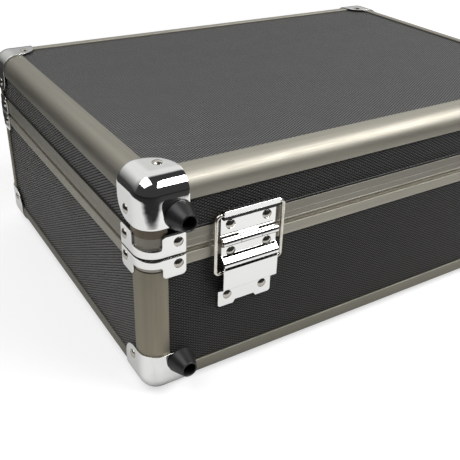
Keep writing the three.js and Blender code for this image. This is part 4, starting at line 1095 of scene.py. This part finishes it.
def foam_shape(back, rim, floor, wave):
    """A lining between the heights of its back and its rim, which opens at the rim."""
    outer_x, outer_y = HALF_X - FOAM_INSET, HALF_Y - FOAM_INSET
    inner_x, inner_y = outer_x - FOAM_WALL, outer_y - FOAM_WALL
    sign = 1 if rim > back else -1

    def loop(x, y, radius, z):
        return [(a, b, z) for a, b in rounded_rect(-x, x, -y, y, radius)]

    rounding = [(0.0, 1.2), (0.4, 0.4), (1.2, 0.0)]
    loops = [loop(outer_x, outer_y, FOAM_OUTER_R, back)]
    loops += [loop(outer_x - inset, outer_y - inset, FOAM_OUTER_R - inset, rim - sign * drop)
              for inset, drop in rounding]
    loops += [loop(inner_x + inset, inner_y + inset, FOAM_INNER_R + inset, rim - sign * drop)
              for inset, drop in reversed(rounding)]
    loops.append(loop(inner_x, inner_y, FOAM_INNER_R, floor))
    count = len(loops[0])
    points = [point for row in loops for point in row]
    faces = []
    for row in range(len(loops) - 1):
        faces += band(row * count, (row + 1) * count, count)
    faces.append(tuple(range(count)))

    start = len(points)
    columns, rows = int(2 * inner_x / FOAM_CELL), int(2 * inner_y / FOAM_CELL)
    turn = 2 * math.pi / WAVE_PITCH
    for i in range(columns + 1):
        for j in range(rows + 1):
            x = -inner_x + 2 * inner_x * i / columns
            y = -inner_y + 2 * inner_y * j / rows
            edge = min(1.0, (inner_x - abs(x)) / WAVE_EDGE, (inner_y - abs(y)) / WAVE_EDGE)
            lift = wave * edge * (math.cos(turn * x) * math.cos(turn * y) - 1) / 2
            points.append((x, y, floor + sign * lift))
    return points, faces + grid_faces(start, columns, rows)


base_foam = build("lining_base", foam_shape(6.1, 125.85, 14.1, 0.0), FOAM, "base", "base_foam",
                  50)
lid_foam = build("lining_lid", foam_shape(184.9, 132.15, 166.9, 9.0), FOAM, "lid", "lid_foam",
                 50)


# Floor, light and camera, in metres
def floor_material():
    """A white table top on a dark ground, which the camera sees as plain white all over."""
    table_x, table_y, bend = 0.655, 0.480, 2.2
    m = Surface("studio_floor", grey(0.86), 0.6, 0.0, Specular_IOR_Level=0.2)
    split = m.axes(m.position())
    x, y = m.math("ABSOLUTE", split[0]), m.math("ABSOLUTE", split[1])
    across = m.math("POWER", m.math("DIVIDE", x, table_x), bend)
    along = m.math("POWER", m.math("DIVIDE", y, table_y), bend)
    table = m.spread(m.math("ADD", across, along), 0.92, 1.08, 1.0, 0.0)
    speckle = m.noise(m.position(), 30.0, 2.0)
    table = m.math("MULTIPLY", table, m.spread(speckle, 0.3, 0.7, 0.985, 1.0))
    path = m.node("ShaderNodeLightPath")
    seen = path.outputs["Is Camera Ray"]
    mirrored = m.math("MAXIMUM", path.outputs["Is Glossy Ray"], path.outputs["Is Transmission Ray"])
    m.colour(m.ramp(m.math("MAXIMUM", table, seen), [(0.0, grey(0.012)), (1.0, grey(0.45))]))
    # The table glows in reflections only, and only beside the case
    beside = m.math("MAXIMUM", m.spread(x, 0.235, 0.27, 0.0, 1.0),
                    m.spread(y, 0.178, 0.212, 0.0, 1.0))
    lit = m.math("MULTIPLY", m.math("MULTIPLY", mirrored, table), m.math("MULTIPLY", beside, 0.30))
    # The camera sees a glow of its own, which grows to full white away from the case
    white = m.spread(m.math("MAXIMUM", x, y), 0.7, 1.5, 0.62, 1.0)
    m.set("Emission Color", (*grey(1.0), 1.0))
    m.link(m.math("ADD", m.math("MULTIPLY", seen, white), lit), m.shader.inputs["Emission Strength"])
    return m.material


def add_stage():
    mesh = bpy.data.meshes.new("floor")
    reach, low = 6.0, -0.0002
    corners = [(-reach, -reach, low), (reach, -reach, low), (reach, reach, low),
                        (-reach, reach, low)]
    mesh.from_pydata(corners, [], [(0, 1, 2, 3)])
    floor = bpy.data.objects.new("floor", mesh)
    bpy.context.scene.collection.objects.link(floor)
    mesh.materials.append(floor_material())


def add_world():
    """White to the camera; a dark room with one wall that grows paler upwards for all else."""
    world = bpy.data.worlds.new("studio")
    world.use_nodes = True
    w = Nodes(world.node_tree)
    w.tree.nodes.clear()
    coordinate = w.node("ShaderNodeTexCoord")
    x, y, z = w.axes(coordinate.outputs["Generated"])
    wall = w.math("MULTIPLY", w.spread(y, -0.2, -0.42, 0.0, 1.0, "SMOOTHSTEP"),
                  w.spread(x, 0.3, 0.85, 1.0, 0.25, "SMOOTHSTEP"))
    pale = w.math("MULTIPLY", wall, w.spread(x, -0.5, -0.8, 1.0, 2.1))
    pale = w.math("MULTIPLY", pale, w.spread(z, 0.0, 0.52, 0.0, 1.0))
    level = w.math("MULTIPLY_ADD", pale, 0.78, 0.04)
    room, plain = w.node("ShaderNodeBackground"), w.node("ShaderNodeBackground")
    for background in (room, plain):
        background.inputs["Color"].default_value = (*grey(1.0), 1.0)
    w.link(level, room.inputs["Strength"])
    path, mix = w.node("ShaderNodeLightPath"), w.node("ShaderNodeMixShader")
    w.link(path.outputs["Is Camera Ray"], mix.inputs["Fac"])
    w.link(room.outputs[0], mix.inputs[1])
    w.link(plain.outputs[0], mix.inputs[2])
    w.link(mix.outputs[0], w.node("ShaderNodeOutputWorld").inputs["Surface"])
    bpy.context.scene.world = world


def add_lamp(name, x, y, size, energy, height=1.39):
    """A softbox that shines straight down."""
    light = bpy.data.lights.new(name, "AREA")
    light.shape = "RECTANGLE"
    light.size, light.size_y = size
    light.energy = energy
    lamp = bpy.data.objects.new(name, light)
    bpy.context.scene.collection.objects.link(lamp)
    lamp.location = (x, y, height)
    lamp.rotation_euler = Vector((0.0, 0.0, -height)).to_track_quat("-Z", "Y").to_euler()


def add_camera():
    """The photograph's camera, solved from the case's straight edges."""
    camera = bpy.data.cameras.new("camera")
    camera.sensor_width, camera.lens = 36.0, 54.115
    camera.clip_start, camera.clip_end = 0.01, 50.0
    view = bpy.data.objects.new("camera", camera)
    bpy.context.scene.collection.objects.link(view)
    right = Vector((-0.8513, 0.5239, 0.0295)).normalized()
    back = Vector((0.4639, 0.7252, 0.5088)).normalized()
    up = back.cross(right).normalized()
    view.matrix_world = matrix_of(right, up, back, (0.41990, 0.56145, 0.40354))
    bpy.context.scene.camera = view


add_stage()
add_world()
add_lamp("softbox_right", 0.91, 0.20, (1.2, 1.15), 14.0)
add_lamp("softbox_left", -1.10, 1.07, (1.6, 1.1), 50.0)
add_camera()
bpy.context.scene.view_settings.view_transform = "Standard"
